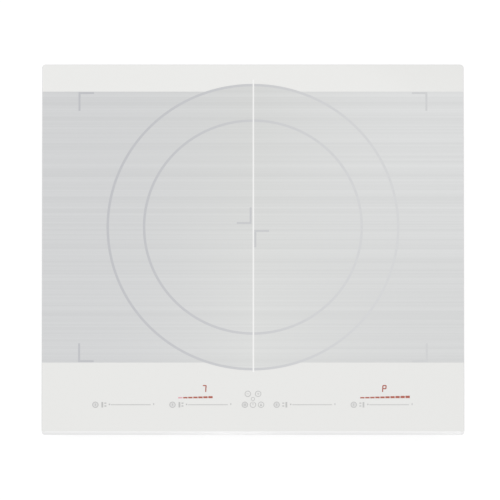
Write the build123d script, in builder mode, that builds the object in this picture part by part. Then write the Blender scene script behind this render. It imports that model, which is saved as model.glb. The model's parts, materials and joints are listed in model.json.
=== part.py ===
"""Built-in induction cooktop, millimetres, Z up, X to the right, Y to the back.

The origin is the middle of the worktop plane: z = 0 is the underside of the
foam seal, the glass lies above it and the casing hangs below it in the cut-out.
"""
import math
import os

from build123d import *

os.makedirs("parts", exist_ok=True)

# ---------------------------------------------------------------- glass plate
GLASS_W = 580.0
GLASS_D = 520.0
GLASS_T = 4.0
GLASS_CORNER_R = 5.0
FRONT_BEVEL_W = 4.5
FRONT_BEVEL_H = 2.4

# ------------------------------------------------------- seal and glass frame
SEAL_T = 2.5
SEAL_W = 6.5
SEAL_SETBACK = 2.5
RAIL_T = 1.2
RAIL_FLANGE = 15.0
RAIL_LEG = 8.0

# ------------------------------------------------------------------ base tray
TRAY_SIDE_SETBACK = 15.0
TRAY_END_SETBACK = 20.0
TRAY_H = 52.0
SHEET = 1.0
TRAY_CORNER_R = 6.0
POCKET_W = 56.0
POCKET_D = 30.0
POCKET_H = 14.0

# -------------------------------------------------------------- cooking zones
ZONES_FROM_BACK = 229.0
ZONE_W = 240.0
ZONE_D = 190.0
COIL_R = 88.0
COIL_HOLE_R = 24.0
FORMER_MARGIN = 2.0
MICA_MARGIN = 1.0
WIRE_W = 3.6
WIRE_PITCH = 4.0
MICA_T = 0.8
WINDING_T = 3.6
FORMER_T = 2.0
FERRITE_T = 5.0
FERRITE_W = 12.0
FERRITE_L = 50.0
FERRITE_COUNT = 8
CARRIER_T = 1.2
SENSOR_R = 4.0

# ------------------------------------------- coil carriers, pillars, springs
CARRIER_INSET = 8.0
CARRIER_FRONT_MARGIN = 14.0
CARRIER_REAR_MARGIN = 10.0
CARRIER_CORNER_R = 6.0
PILLAR_AISLE_INSET = 17.0
PILLAR_SIDE_INSET = 16.0
PILLAR_END_INSET = 10.0
REAR_PILLAR_INSET_X = 31.0
REAR_PILLAR_INSET_Y = 36.0
SPRING_H = 7.0
SPRING_T = 0.6
SPRING_W = 10.0
SPRING_L = 30.0
SPRING_PAD = 6.0
PILLAR_R = 6.0
FOOT_R = 9.0
FOOT_T = 2.0
HOLDER_POST_INSET = 40.0
HOLDER_POST_SHIFT = 8.0
AISLE_W = 90.0
WALL_GAP = 6.0

# ---------------------------------------------------------------- electronics
BOARD_T = 1.6
HOLE_INSET = 6.0
DUCT_T = 1.5
STANDOFF_H = 6.0
STANDOFF_R = 4.0
BOARD_SCREW_L = 6.6
POWER_BOARD_D = 122.0
POWER_BOARD_GAP = 2.0
BOARD_PART_GAP = 1.0
HEATSINK_W = 57.0
HEATSINK_L = 112.0
HEATSINK_H = 26.0
HEATSINK_BASE = 4.0
FIN_T = 1.6
FIN_COUNT = 9
FILTER_BOARD_W = 145.0
FILTER_BOARD_D = 96.0
FILTER_BOARD_FROM_BACK = 44.0
FILTER_FROM_AISLE = 15.0

# ----------------------------------------------------------------- blower fan
FAN_W = 72.0
FAN_D = 84.0
FAN_H = 28.0
FAN_WALL = 1.6
ROTOR_R = 30.0
ROTOR_H = 20.0
ROTOR_HUB_R = 14.0
BLADE_T = 1.2
BLADE_COUNT = 24
SHAFT_R = 1.5
FAN_GAP = 0.3
GRILLE_R = 29.0
SLOT_W = 3.2
SLOT_PITCH = 6.4

# --------------------------------------------------------------- terminal box
TERMINAL_BOX_W = 98.0
TERMINAL_BOX_D = 46.0
TERMINAL_WALL = 2.0
TERMINAL_FROM_SIDE = 76.0
HATCH_W = 62.0
HATCH_H = 34.0
HATCH_TOP = 12.6
HATCH_OFFSET = 14.0
GLAND_FROM_HATCH = 46.0
GLAND_RISE = 6.0
FLAP_T = 2.0
FLAP_MARGIN = 3.0
FLAP_GAP = 0.4
HINGE_R = 1.4
BARREL_R = 2.3
EAR_T = 3.0
GLAND_BORE_R = 6.5
GLAND_R = 9.5
POLE_COUNT = 5
POLE_PITCH = 12.5

# --------------------------------------------------------------- control unit
CONTROL_FROM_FRONT = 52.0
CONTROL_W = 470.0
CONTROL_D = 50.0
CONTROL_BOARD_DROP = 8.0
HOLDER_WALL = 2.0
BAR_L = 70.0
BAR_D = 6.0
DIGIT_W = 9.0
DIGIT_D = 12.0
BAR_CENTRES = (-173.5, -68.8, 76.2, 181.3)
BARS_FROM_FRONT = 51.9
DIGITS_FROM_FRONT = 64.3
KEYS_FROM_FRONT = 41.8
UPPER_KEYS_FROM_FRONT = 56.6
SLIDER_STARTS = (-197.8, -92.0, 50.9, 156.7)
SLIDER_L = 62.0
SLIDER_PADS = 5
ZONE_KEY_OFFSETS = (-18.2, -7.0)
CENTRE_KEYS = (-11.1, 0.0, 11.1)
UPPER_KEYS = (-7.1, 7.1)
TOUCH_R = 3.2
TOUCH_HOLE_R = 2.2
RIBBON_W = 20.0
RIBBON_T = 1.0

# ------------------------------------------------------------ worktop clamps
CLAMP_T = 2.0
CLAMP_W = 12.0
CLAMP_REACH = 30.0
CLAMP_SCREW_R = 2.5
CLAMP_HOLE_R = 2.7
CLAMP_HUB_R = 6.0
CLAMP_GAP = 0.3
CLAMP_FROM_SIDE = 13.0
CLAMP_FROM_END = 15.0

# ------------------------------------------------------------- small fixings
SCREW_R = 1.5
SCREW_HEAD_R = 3.0
SCREW_HEAD_H = 1.8
SCREW_DROP = 4.6
RUN_GAP = 0.3

# --------------------------------------------------------------- derived sizes
GLASS_Z = SEAL_T
BACK = GLASS_D / 2
FRONT = -GLASS_D / 2
TRAY_W = GLASS_W - 2 * TRAY_SIDE_SETBACK
TRAY_D = GLASS_D - 2 * TRAY_END_SETBACK
TRAY_TOP = GLASS_Z - RAIL_T
FLOOR_BOTTOM = -TRAY_H
FLOOR = FLOOR_BOTTOM + SHEET
INNER_X = TRAY_W / 2 - SHEET
INNER_Y = TRAY_D / 2 - SHEET
POCKET_ROOF = FLOOR_BOTTOM + POCKET_H

ZONE_Y = BACK - ZONES_FROM_BACK
FORMER_R = COIL_R + FORMER_MARGIN
MICA_Z = GLASS_Z - MICA_T
WINDING_Z = MICA_Z - WINDING_T
FORMER_Z = WINDING_Z - FORMER_T
CARRIER_TOP = FORMER_Z - FERRITE_T
CARRIER_Z = CARRIER_TOP - CARRIER_T
PILLAR_TOP = CARRIER_Z - SPRING_H
BOARD_Z = FLOOR + STANDOFF_H
BOARD_TOP = BOARD_Z + BOARD_T

POWER_X0 = AISLE_W / 2
POWER_X1 = INNER_X - WALL_GAP
CARRIER_X0 = CARRIER_INSET
CARRIER_X1 = INNER_X - CARRIER_INSET
CARRIER_Y0 = ZONE_Y - ZONE_D / 2 - FORMER_R - CARRIER_FRONT_MARGIN
CARRIER_Y1 = ZONE_Y + ZONE_D / 2 + FORMER_R + CARRIER_REAR_MARGIN
FRONT_PILLAR_Y = CARRIER_Y0 + PILLAR_END_INSET
POWER_Y0 = FRONT_PILLAR_Y + PILLAR_R + POWER_BOARD_GAP
POWER_Y1 = POWER_Y0 + POWER_BOARD_D
DUCT_OUTER_X = POWER_X1 - HOLE_INSET - SCREW_HEAD_R - BOARD_PART_GAP
HEATSINK_X = DUCT_OUTER_X - DUCT_T - HEATSINK_W / 2
HEATSINK_Y = (POWER_Y0 + POWER_Y1) / 2
FAN_X = HEATSINK_X
FAN_Y = POWER_Y1 + WALL_GAP + FAN_D / 2
FAN_TOP = FLOOR + FAN_H

CONTROL_Y = FRONT + CONTROL_FROM_FRONT
CONTROL_TOP = GLASS_Z - CONTROL_BOARD_DROP
CONTROL_Z = CONTROL_TOP - BOARD_T
HOLDER_Z = CONTROL_Z - HOLDER_WALL
HOLDER_POST_TOP = HOLDER_Z - SPRING_H

SIDES = {"left": -1, "right": 1}
ENDS = {"front": -1, "rear": 1}
ZONE_CENTRES = {
    f"{end}_{side}": (sx * ZONE_W / 2, ZONE_Y + sy * ZONE_D / 2)
    for end, sy in ENDS.items()
    for side, sx in SIDES.items()
}
CORNERS = {
    f"{end}_{side}": (sx, sy) for end, sy in ENDS.items() for side, sx in SIDES.items()
}

# ================================================================ glass plate
with BuildPart() as glass_plate:
    with BuildSketch(Plane.XY.offset(GLASS_Z)):
        RectangleRounded(GLASS_W, GLASS_D, GLASS_CORNER_R)
    extrude(amount=GLASS_T)
    top_edges = glass_plate.edges().group_by(Axis.Z)[-1]
    front_edge = top_edges.filter_by(GeomType.LINE).sort_by(Axis.Y)[0]
    chamfer(front_edge, length=FRONT_BEVEL_H, length2=FRONT_BEVEL_W)
glass_plate.part.label = "glass_plate"
export_step(glass_plate.part, "parts/glass_plate.step")

# ============================================================== worktop seal
SEAL_OUTER_W = GLASS_W - 2 * SEAL_SETBACK
SEAL_OUTER_D = GLASS_D - 2 * SEAL_SETBACK
with BuildPart() as worktop_seal:
    with BuildSketch(Plane.XY):
        RectangleRounded(SEAL_OUTER_W, SEAL_OUTER_D, GLASS_CORNER_R)
        Rectangle(SEAL_OUTER_W - 2 * SEAL_W, SEAL_OUTER_D - 2 * SEAL_W, mode=Mode.SUBTRACT)
    extrude(amount=SEAL_T)
worktop_seal.part.label = "worktop_seal"
export_step(worktop_seal.part, "parts/worktop_seal.step")

# ================================================ base tray, one sheet casing
VENT_SLOTS = 12
VENT_L = 26.0
VENT_X = TRAY_W / 4
GRILLE_SLOTS = 9
HATCH_X = INNER_X - TERMINAL_FROM_SIDE - TERMINAL_BOX_W / 2 - HATCH_OFFSET
GLAND_X = HATCH_X + GLAND_FROM_HATCH
HATCH_Z = -HATCH_TOP - HATCH_H / 2
GLAND_Z = FLOOR + TERMINAL_WALL + GLAND_R + GLAND_RISE
SCREW_XS = (-TRAY_W / 3, 0, TRAY_W / 3)
SCREW_YS = (-TRAY_D / 3, 0, TRAY_D / 3)
SCREW_Z = TRAY_TOP - SCREW_DROP
pocket_spots = [
    (sx * (TRAY_W - POCKET_W) / 2, sy * (TRAY_D - POCKET_D) / 2)
    for sx, sy in CORNERS.values()
]
clamp_spots = {
    corner: (sx * (TRAY_W / 2 - CLAMP_FROM_SIDE), sy * (TRAY_D / 2 - CLAMP_FROM_END))
    for corner, (sx, sy) in CORNERS.items()
}
with BuildPart() as base_tray:
    with BuildSketch(Plane.XY.offset(FLOOR_BOTTOM)):
        RectangleRounded(TRAY_W, TRAY_D, TRAY_CORNER_R)
    extrude(amount=TRAY_TOP - FLOOR_BOTTOM)
    # the four corner pockets, open below, where the worktop clamps fold away
    with BuildSketch(Plane.XY.offset(FLOOR_BOTTOM)):
        with Locations(*pocket_spots):
            Rectangle(POCKET_W, POCKET_D)
    extrude(amount=POCKET_H, mode=Mode.SUBTRACT)
    # the inside, a sheet thickness in from the outside and above the pockets
    with BuildSketch(Plane.XY.offset(FLOOR)):
        Rectangle(2 * INNER_X, 2 * INNER_Y)
        with Locations(*pocket_spots):
            Rectangle(POCKET_W + 2 * SHEET, POCKET_D + 2 * SHEET, mode=Mode.SUBTRACT)
    extrude(amount=POCKET_H, mode=Mode.SUBTRACT)
    with BuildSketch(Plane.XY.offset(FLOOR + POCKET_H)):
        RectangleRounded(2 * INNER_X, 2 * INNER_Y, TRAY_CORNER_R - SHEET)
    extrude(amount=TRAY_TOP - FLOOR - POCKET_H, mode=Mode.SUBTRACT)
    # outlet slots through the front of the floor, below the two heatsinks
    with BuildSketch(Plane.XY.offset(FLOOR_BOTTOM)):
        with Locations((-VENT_X, POWER_Y0 - VENT_L), (VENT_X, POWER_Y0 - VENT_L)):
            with GridLocations(SLOT_PITCH, 1, VENT_SLOTS, 1):
                SlotOverall(VENT_L, SLOT_W, rotation=90)
    extrude(amount=SHEET, mode=Mode.SUBTRACT)
    # inlet grilles below the fans: slots cut to the round mouth of the fan
    with BuildSketch(Plane.XY.offset(FLOOR_BOTTOM)):
        for side in SIDES.values():
            for row in range(GRILLE_SLOTS):
                offset_x = (row - (GRILLE_SLOTS - 1) / 2) * SLOT_PITCH
                slot_l = 2 * math.sqrt(GRILLE_R**2 - offset_x**2) - SLOT_W
                with Locations((side * FAN_X + offset_x, FAN_Y)):
                    SlotOverall(slot_l, SLOT_W, rotation=90)
    extrude(amount=SHEET, mode=Mode.SUBTRACT)
    # terminal hatch and cable gland through the rear wall
    with BuildSketch(Plane.XZ.offset(-TRAY_D / 2)):
        with Locations((HATCH_X, HATCH_Z)):
            Rectangle(HATCH_W, HATCH_H)
        with Locations((GLAND_X, GLAND_Z)):
            Circle(GLAND_R)
    extrude(amount=SHEET, mode=Mode.SUBTRACT)
    # screw holes to the glass frame, in all four walls
    with BuildSketch(Plane.XZ):
        with Locations(*[(x, SCREW_Z) for x in SCREW_XS]):
            Circle(SCREW_R)
    extrude(amount=TRAY_D / 2, both=True, mode=Mode.SUBTRACT)
    with BuildSketch(Plane.YZ):
        with Locations(*[(y, SCREW_Z) for y in SCREW_YS]):
            Circle(SCREW_R)
    extrude(amount=TRAY_W / 2, both=True, mode=Mode.SUBTRACT)
    # clamp screw holes in the pocket roofs
    with BuildSketch(Plane.XY.offset(POCKET_ROOF)):
        with Locations(*clamp_spots.values()):
            Circle(CLAMP_SCREW_R)
    extrude(amount=SHEET, mode=Mode.SUBTRACT)
base_tray.part.label = "base_tray"
export_step(base_tray.part, "parts/base_tray.step")

# ====================================== glass frame, four angle rails of steel
# Each rail has a flange glued under the glass and a leg inside the tray wall.
LEG_CLEAR = 10.0
for name, side in SIDES.items():
    wall = side * INNER_X
    with BuildPart() as side_rail:
        with BuildSketch(Plane.XY.offset(TRAY_TOP)):
            with Locations((side * (TRAY_W - RAIL_FLANGE) / 2, 0)):
                Rectangle(RAIL_FLANGE, TRAY_D)
        extrude(amount=RAIL_T)
        with BuildSketch(Plane.XY.offset(TRAY_TOP)):
            with Locations((wall - side * RAIL_T / 2, 0)):
                Rectangle(RAIL_T, TRAY_D - 2 * LEG_CLEAR)
        extrude(amount=-RAIL_LEG)
        with BuildSketch(Plane.YZ.offset(wall)):
            with Locations(*[(y, SCREW_Z) for y in SCREW_YS]):
                Circle(SCREW_R)
        extrude(amount=-side * RAIL_T, mode=Mode.SUBTRACT)
    side_rail.part.label = f"side_rail_{name}"
    export_step(side_rail.part, f"parts/side_rail_{name}.step")

for name, end in ENDS.items():
    wall = end * INNER_Y
    with BuildPart() as end_rail:
        with BuildSketch(Plane.XY.offset(TRAY_TOP)):
            with Locations((0, end * (TRAY_D - RAIL_FLANGE) / 2)):
                Rectangle(TRAY_W - 2 * RAIL_FLANGE, RAIL_FLANGE)
        extrude(amount=RAIL_T)
        with BuildSketch(Plane.XY.offset(TRAY_TOP)):
            with Locations((0, wall - end * RAIL_T / 2)):
                Rectangle(TRAY_W - 2 * RAIL_FLANGE, RAIL_T)
        extrude(amount=-RAIL_LEG)
        with BuildSketch(Plane.XZ.offset(-wall)):
            with Locations(*[(x, SCREW_Z) for x in SCREW_XS]):
                Circle(SCREW_R)
        extrude(amount=end * RAIL_T, mode=Mode.SUBTRACT)
    end_rail.part.label = f"{name}_rail"
    export_step(end_rail.part, f"parts/{name}_rail.step")

# ----------------------- twelve screws that hold the tray to the four rails
SCREW_END = 2.0
SCREW_L = SHEET + RAIL_T + SCREW_END
wall_planes = [
    Plane(origin=(x, end * TRAY_D / 2, SCREW_Z), z_dir=(0, end, 0))
    for end in ENDS.values()
    for x in SCREW_XS
] + [
    Plane(origin=(side * TRAY_W / 2, y, SCREW_Z), z_dir=(side, 0, 0))
    for side in SIDES.values()
    for y in SCREW_YS
]
with BuildPart() as housing_screws:
    with BuildSketch(*wall_planes):
        Circle(SCREW_HEAD_R)
    extrude(amount=SCREW_HEAD_H)
    with BuildSketch(*wall_planes):
        Circle(SCREW_R)
    extrude(amount=-SCREW_L)
housing_screws.part.label = "housing_screws"
export_step(housing_screws.part, "parts/housing_screws.step")

# ============================================= induction coils, one per zone
FORMER_RIM = 4.0
HUB_R = 20.0
MICA_HOLE_R = 6.0
TURNS = int((COIL_R - COIL_HOLE_R) / WIRE_PITCH)
HUB_GAP = 8.0
FERRITE_MID_R = HUB_R + HUB_GAP + FERRITE_L / 2
for zone, (zone_x, zone_y) in ZONE_CENTRES.items():
    with BuildPart() as mica_sheet:
        with BuildSketch(Plane.XY.offset(MICA_Z)):
            with Locations((zone_x, zone_y)):
                Circle(COIL_R + MICA_MARGIN)
                Circle(MICA_HOLE_R, mode=Mode.SUBTRACT)
        extrude(amount=MICA_T)
    mica_sheet.part.label = f"mica_sheet_{zone}"
    export_step(mica_sheet.part, f"parts/mica_sheet_{zone}.step")

    with BuildPart() as coil_winding:
        for turn in range(TURNS):
            turn_r = COIL_HOLE_R + turn * WIRE_PITCH
            with BuildSketch(Plane.XY.offset(WINDING_Z)):
                with Locations((zone_x, zone_y)):
                    Circle(turn_r + WIRE_W)
                    Circle(turn_r, mode=Mode.SUBTRACT)
            extrude(amount=WINDING_T)
    coil_winding.part.label = f"coil_winding_{zone}"
    export_step(coil_winding.part, f"parts/coil_winding_{zone}.step")

    with BuildPart() as coil_former:
        with BuildSketch(Plane.XY.offset(FORMER_Z)):
            with Locations((zone_x, zone_y)):
                Circle(FORMER_R)
        extrude(amount=FORMER_T)
        with BuildSketch(Plane.XY.offset(CARRIER_TOP)):
            with Locations((zone_x, zone_y)):
                Circle(FORMER_R)
                Circle(FORMER_R - FORMER_RIM, mode=Mode.SUBTRACT)
                Circle(HUB_R)
        extrude(amount=FERRITE_T)
    coil_former.part.label = f"coil_former_{zone}"
    export_step(coil_former.part, f"parts/coil_former_{zone}.step")

    with BuildPart() as coil_ferrites:
        with BuildSketch(Plane.XY.offset(CARRIER_TOP)):
            with Locations((zone_x, zone_y)):
                with PolarLocations(FERRITE_MID_R, FERRITE_COUNT):
                    Rectangle(FERRITE_L, FERRITE_W)
        extrude(amount=FERRITE_T)
    coil_ferrites.part.label = f"coil_ferrites_{zone}"
    export_step(coil_ferrites.part, f"parts/coil_ferrites_{zone}.step")

# ------------------- four temperature sensors, standing in the coil centres
with BuildPart() as temperature_sensors:
    with BuildSketch(Plane.XY.offset(WINDING_Z)):
        with Locations(*ZONE_CENTRES.values()):
            Circle(SENSOR_R)
    extrude(amount=GLASS_Z - WINDING_Z)
temperature_sensors.part.label = "temperature_sensors"
export_step(temperature_sensors.part, "parts/temperature_sensors.step")

# ============================ aluminium coil carriers on pillars and springs
LEAD_SLOT_L = 60.0
LEAD_SLOT_W = 7.0
pillar_spots = [
    (side * x, y)
    for side in SIDES.values()
    for x, y in (
        (CARRIER_X0 + PILLAR_AISLE_INSET, FRONT_PILLAR_Y),
        (CARRIER_X1 - PILLAR_SIDE_INSET, FRONT_PILLAR_Y),
        (CARRIER_X0 + PILLAR_AISLE_INSET, CARRIER_Y1 - PILLAR_END_INSET),
        (CARRIER_X1 - REAR_PILLAR_INSET_X, CARRIER_Y1 - REAR_PILLAR_INSET_Y),
    )
]
for name, side in SIDES.items():
    with BuildPart() as coil_carrier:
        with BuildSketch(Plane.XY.offset(CARRIER_Z)):
            with Locations((side * (CARRIER_X0 + CARRIER_X1) / 2, (CARRIER_Y0 + CARRIER_Y1) / 2)):
                RectangleRounded(CARRIER_X1 - CARRIER_X0, CARRIER_Y1 - CARRIER_Y0, CARRIER_CORNER_R)
            with Locations((side * ZONE_W / 2, ZONE_Y)):
                SlotOverall(LEAD_SLOT_L, LEAD_SLOT_W, mode=Mode.SUBTRACT)
        extrude(amount=CARRIER_T)
    coil_carrier.part.label = f"coil_carrier_{name}"
    export_step(coil_carrier.part, f"parts/coil_carrier_{name}.step")

# Eight pillars carry the coil plates and four shorter-stroke ones the holder.
holder_spots = [
    (side * x, CONTROL_Y + HOLDER_POST_SHIFT)
    for side in SIDES.values()
    for x in (CONTROL_W / 6, CONTROL_W / 2 - HOLDER_POST_INSET)
]
with BuildPart() as support_pillars:
    with BuildSketch(Plane.XY.offset(FLOOR)):
        with Locations(*pillar_spots):
            Circle(PILLAR_R)
    extrude(amount=PILLAR_TOP - FLOOR)
    with BuildSketch(Plane.XY.offset(FLOOR)):
        with Locations(*holder_spots):
            Circle(PILLAR_R)
    extrude(amount=HOLDER_POST_TOP - FLOOR)
    with BuildSketch(Plane.XY.offset(FLOOR)):
        with Locations(*pillar_spots, *holder_spots):
            Circle(FOOT_R)
    extrude(amount=FOOT_T)
support_pillars.part.label = "support_pillars"
export_step(support_pillars.part, "parts/support_pillars.step")

# A leaf spring is a bent strip: its middle lies on the post, its two ends
# press up against the plate above.
SPRING_MID = 4.0
SPRING_SEAT = SPRING_L / 2 - SPRING_PAD
spring_outline = [
    (-SPRING_MID, 0),
    (SPRING_MID, 0),
    (SPRING_SEAT, SPRING_H - SPRING_T),
    (SPRING_L / 2, SPRING_H - SPRING_T),
    (SPRING_L / 2, SPRING_H),
    (SPRING_SEAT - SPRING_T / 2, SPRING_H),
    (SPRING_MID - SPRING_T / 2, SPRING_T),
    (SPRING_T / 2 - SPRING_MID, SPRING_T),
    (SPRING_T / 2 - SPRING_SEAT, SPRING_H),
    (-SPRING_L / 2, SPRING_H),
    (-SPRING_L / 2, SPRING_H - SPRING_T),
    (-SPRING_SEAT, SPRING_H - SPRING_T),
]
spring_seats = [(x, y, PILLAR_TOP) for x, y in pillar_spots]
spring_seats += [(x, y, HOLDER_POST_TOP) for x, y in holder_spots]
spring_planes = [Plane(origin=seat, x_dir=(1, 0, 0), z_dir=(0, -1, 0)) for seat in spring_seats]
with BuildPart() as leaf_springs:
    with BuildSketch(*spring_planes):
        Polygon(*spring_outline, align=None)
    extrude(amount=SPRING_W / 2, both=True)
leaf_springs.part.label = "leaf_springs"
export_step(leaf_springs.part, "parts/leaf_springs.step")

# ======================================== power boards, one behind each side
CONNECTOR_EDGE = 4.0
CONNECTOR_W = RIBBON_W + CONNECTOR_EDGE
CONNECTOR_D = 8.0
CONNECTOR_H = 10.0
RIBBON_FROM_AISLE = 55.0
RIBBON_X = POWER_X0 + RIBBON_FROM_AISLE
power_holes = [
    (side * x, y)
    for side in SIDES.values()
    for x in (POWER_X0 + HOLE_INSET, POWER_X1 - HOLE_INSET)
    for y in (POWER_Y0 + HOLE_INSET, POWER_Y1 - HOLE_INSET)
]
FILTER_X = -(POWER_X0 + FILTER_FROM_AISLE + FILTER_BOARD_W / 2)
FILTER_Y = INNER_Y - FILTER_BOARD_FROM_BACK - FILTER_BOARD_D / 2
filter_holes = [
    (
        FILTER_X + sx * (FILTER_BOARD_W / 2 - HOLE_INSET),
        FILTER_Y + sy * (FILTER_BOARD_D / 2 - HOLE_INSET),
    )
    for sx in (-1, 1)
    for sy in (-1, 1)
]
board_holes = power_holes + filter_holes
for name, side in SIDES.items():
    with BuildPart() as power_board:
        with BuildSketch(Plane.XY.offset(BOARD_Z)):
            with Locations((side * (POWER_X0 + POWER_X1) / 2, (POWER_Y0 + POWER_Y1) / 2)):
                Rectangle(POWER_X1 - POWER_X0, POWER_BOARD_D)
            with Locations(*power_holes):
                Circle(SCREW_R, mode=Mode.SUBTRACT)
        extrude(amount=BOARD_T)
        with BuildSketch(Plane.XY.offset(BOARD_TOP)):
            with Locations((side * RIBBON_X, POWER_Y0 + CONNECTOR_D / 2 + CONNECTOR_EDGE)):
                Rectangle(CONNECTOR_W, CONNECTOR_D)
        extrude(amount=CONNECTOR_H)
    power_board.part.label = f"power_board_{name}"
    export_step(power_board.part, f"parts/power_board_{name}.step")

with BuildPart() as filter_board:
    with BuildSketch(Plane.XY.offset(BOARD_Z)):
        with Locations((FILTER_X, FILTER_Y)):
            Rectangle(FILTER_BOARD_W, FILTER_BOARD_D)
        with Locations(*filter_holes):
            Circle(SCREW_R, mode=Mode.SUBTRACT)
    extrude(amount=BOARD_T)
filter_board.part.label = "filter_board"
export_step(filter_board.part, "parts/filter_board.step")

with BuildPart() as board_standoffs:
    with BuildSketch(Plane.XY.offset(FLOOR)):
        with Locations(*board_holes):
            Circle(STANDOFF_R)
            Circle(SCREW_R, mode=Mode.SUBTRACT)
    extrude(amount=STANDOFF_H)
board_standoffs.part.label = "board_standoffs"
export_step(board_standoffs.part, "parts/board_standoffs.step")

with BuildPart() as board_screws:
    with BuildSketch(Plane.XY.offset(BOARD_TOP)):
        with Locations(*board_holes):
            Circle(SCREW_HEAD_R)
    extrude(amount=SCREW_HEAD_H)
    with BuildSketch(Plane.XY.offset(BOARD_TOP)):
        with Locations(*board_holes):
            Circle(SCREW_R)
    extrude(amount=-BOARD_SCREW_L)
board_screws.part.label = "board_screws"
export_step(board_screws.part, "parts/board_screws.step")

# ------------- finned heatsinks: an upright base inboard, fins pointing out
FIN_PITCH = (HEATSINK_H - FIN_T) / (FIN_COUNT - 1)
DUCT_END = FAN_Y - FAN_D / 2
for name, side in SIDES.items():
    inboard = side * (HEATSINK_X - HEATSINK_W / 2)
    outboard = side * (HEATSINK_X + HEATSINK_W / 2)
    base_x = inboard + side * HEATSINK_BASE / 2
    fin_zs = [BOARD_TOP + FIN_T / 2 + n * FIN_PITCH for n in range(FIN_COUNT)]
    with BuildPart() as heatsink:
        with BuildSketch(Plane.XZ.offset(-HEATSINK_Y)):
            with Locations((base_x, BOARD_TOP + HEATSINK_H / 2)):
                Rectangle(HEATSINK_BASE, HEATSINK_H)
            with Locations(*[(side * HEATSINK_X, z) for z in fin_zs]):
                Rectangle(HEATSINK_W, FIN_T)
        extrude(amount=HEATSINK_L / 2, both=True)
    heatsink.part.label = f"heatsink_{name}"
    export_step(heatsink.part, f"parts/heatsink_{name}.step")

    # the duct closes the fins above and outboard, from the fan to the front
    duct_top = BOARD_TOP + HEATSINK_H
    with BuildPart() as air_duct:
        with BuildSketch(Plane.XZ.offset(-POWER_Y0)):
            with Locations((side * (HEATSINK_X + DUCT_T / 2), duct_top + DUCT_T / 2)):
                Rectangle(HEATSINK_W + DUCT_T, DUCT_T)
            with Locations((outboard + side * DUCT_T / 2, (BOARD_TOP + duct_top) / 2)):
                Rectangle(DUCT_T, HEATSINK_H)
        extrude(amount=-(DUCT_END - POWER_Y0))
    air_duct.part.label = f"air_duct_{name}"
    export_step(air_duct.part, f"parts/air_duct_{name}.step")

# --------------------- power transistors, clamped to the heatsink's inboard face
TRANSISTOR_SIZE = (5.0, 16.0, 20.0)
TRANSISTOR_PITCH = 25.0
TRANSISTOR_COUNT = 4
LEG_H = 3.0
LEG_PITCH = 5.4
LEG_SIZE = (0.8, 1.4)
transistor_spots = [
    (
        side * (HEATSINK_X - HEATSINK_W / 2 - TRANSISTOR_SIZE[0] / 2),
        HEATSINK_Y + (n - (TRANSISTOR_COUNT - 1) / 2) * TRANSISTOR_PITCH,
    )
    for side in SIDES.values()
    for n in range(TRANSISTOR_COUNT)
]
with BuildPart() as power_transistors:
    with BuildSketch(Plane.XY.offset(BOARD_TOP + LEG_H)):
        with Locations(*transistor_spots):
            Rectangle(TRANSISTOR_SIZE[0], TRANSISTOR_SIZE[1])
    extrude(amount=TRANSISTOR_SIZE[2])
    with BuildSketch(Plane.XY.offset(BOARD_TOP)):
        with Locations(*transistor_spots):
            with GridLocations(1, LEG_PITCH, 1, 3):
                Rectangle(*LEG_SIZE)
    extrude(amount=LEG_H)
power_transistors.part.label = "power_transistors"
export_step(power_transistors.part, "parts/power_transistors.step")

# ------------------------- film capacitors and chokes in the middle of a board
CAPACITOR_W = 18.0
CAPACITOR_D = 32.0
CAPACITOR_H = 24.0
CAPACITOR_PITCH = 26.0
CHOKE_R = 17.0
CHOKE_HOLE_R = 7.0
CHOKE_H = 18.0
CHOKE_PITCH = 44.0
CHOKE_FROM_EDGE = 16.0
CHOKE_FROM_AISLE = 62.0
CHOKE_CHAMFER = 2.0
CAPACITOR_FROM_AISLE = 40.0
CAPACITOR_FROM_EDGE = 8.0
CAPACITOR_FILLET = 1.5
capacitor_spots = [
    (
        side * (POWER_X0 + CAPACITOR_FROM_AISLE + n * CAPACITOR_PITCH),
        POWER_Y1 - CAPACITOR_FROM_EDGE - CAPACITOR_D / 2,
    )
    for side in SIDES.values()
    for n in range(4)
]
choke_spots = [
    (
        side * (POWER_X0 + CHOKE_FROM_AISLE + n * CHOKE_PITCH),
        POWER_Y0 + CHOKE_FROM_EDGE + CHOKE_R,
    )
    for side in SIDES.values()
    for n in range(2)
]
with BuildPart() as power_capacitors:
    with BuildSketch(Plane.XY.offset(BOARD_TOP)):
        with Locations(*capacitor_spots):
            Rectangle(CAPACITOR_W, CAPACITOR_D)
    extrude(amount=CAPACITOR_H)
    fillet(power_capacitors.edges().group_by(Axis.Z)[-1], radius=CAPACITOR_FILLET)
power_capacitors.part.label = "power_capacitors"
export_step(power_capacitors.part, "parts/power_capacitors.step")

with BuildPart() as power_chokes:
    with BuildSketch(Plane.XY.offset(BOARD_TOP)):
        with Locations(*choke_spots):
            Circle(CHOKE_R)
            Circle(CHOKE_HOLE_R, mode=Mode.SUBTRACT)
    extrude(amount=CHOKE_H)
    chamfer(power_chokes.edges().group_by(Axis.Z)[-1], length=CHOKE_CHAMFER)
power_chokes.part.label = "power_chokes"
export_step(power_chokes.part, "parts/power_chokes.step")

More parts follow.
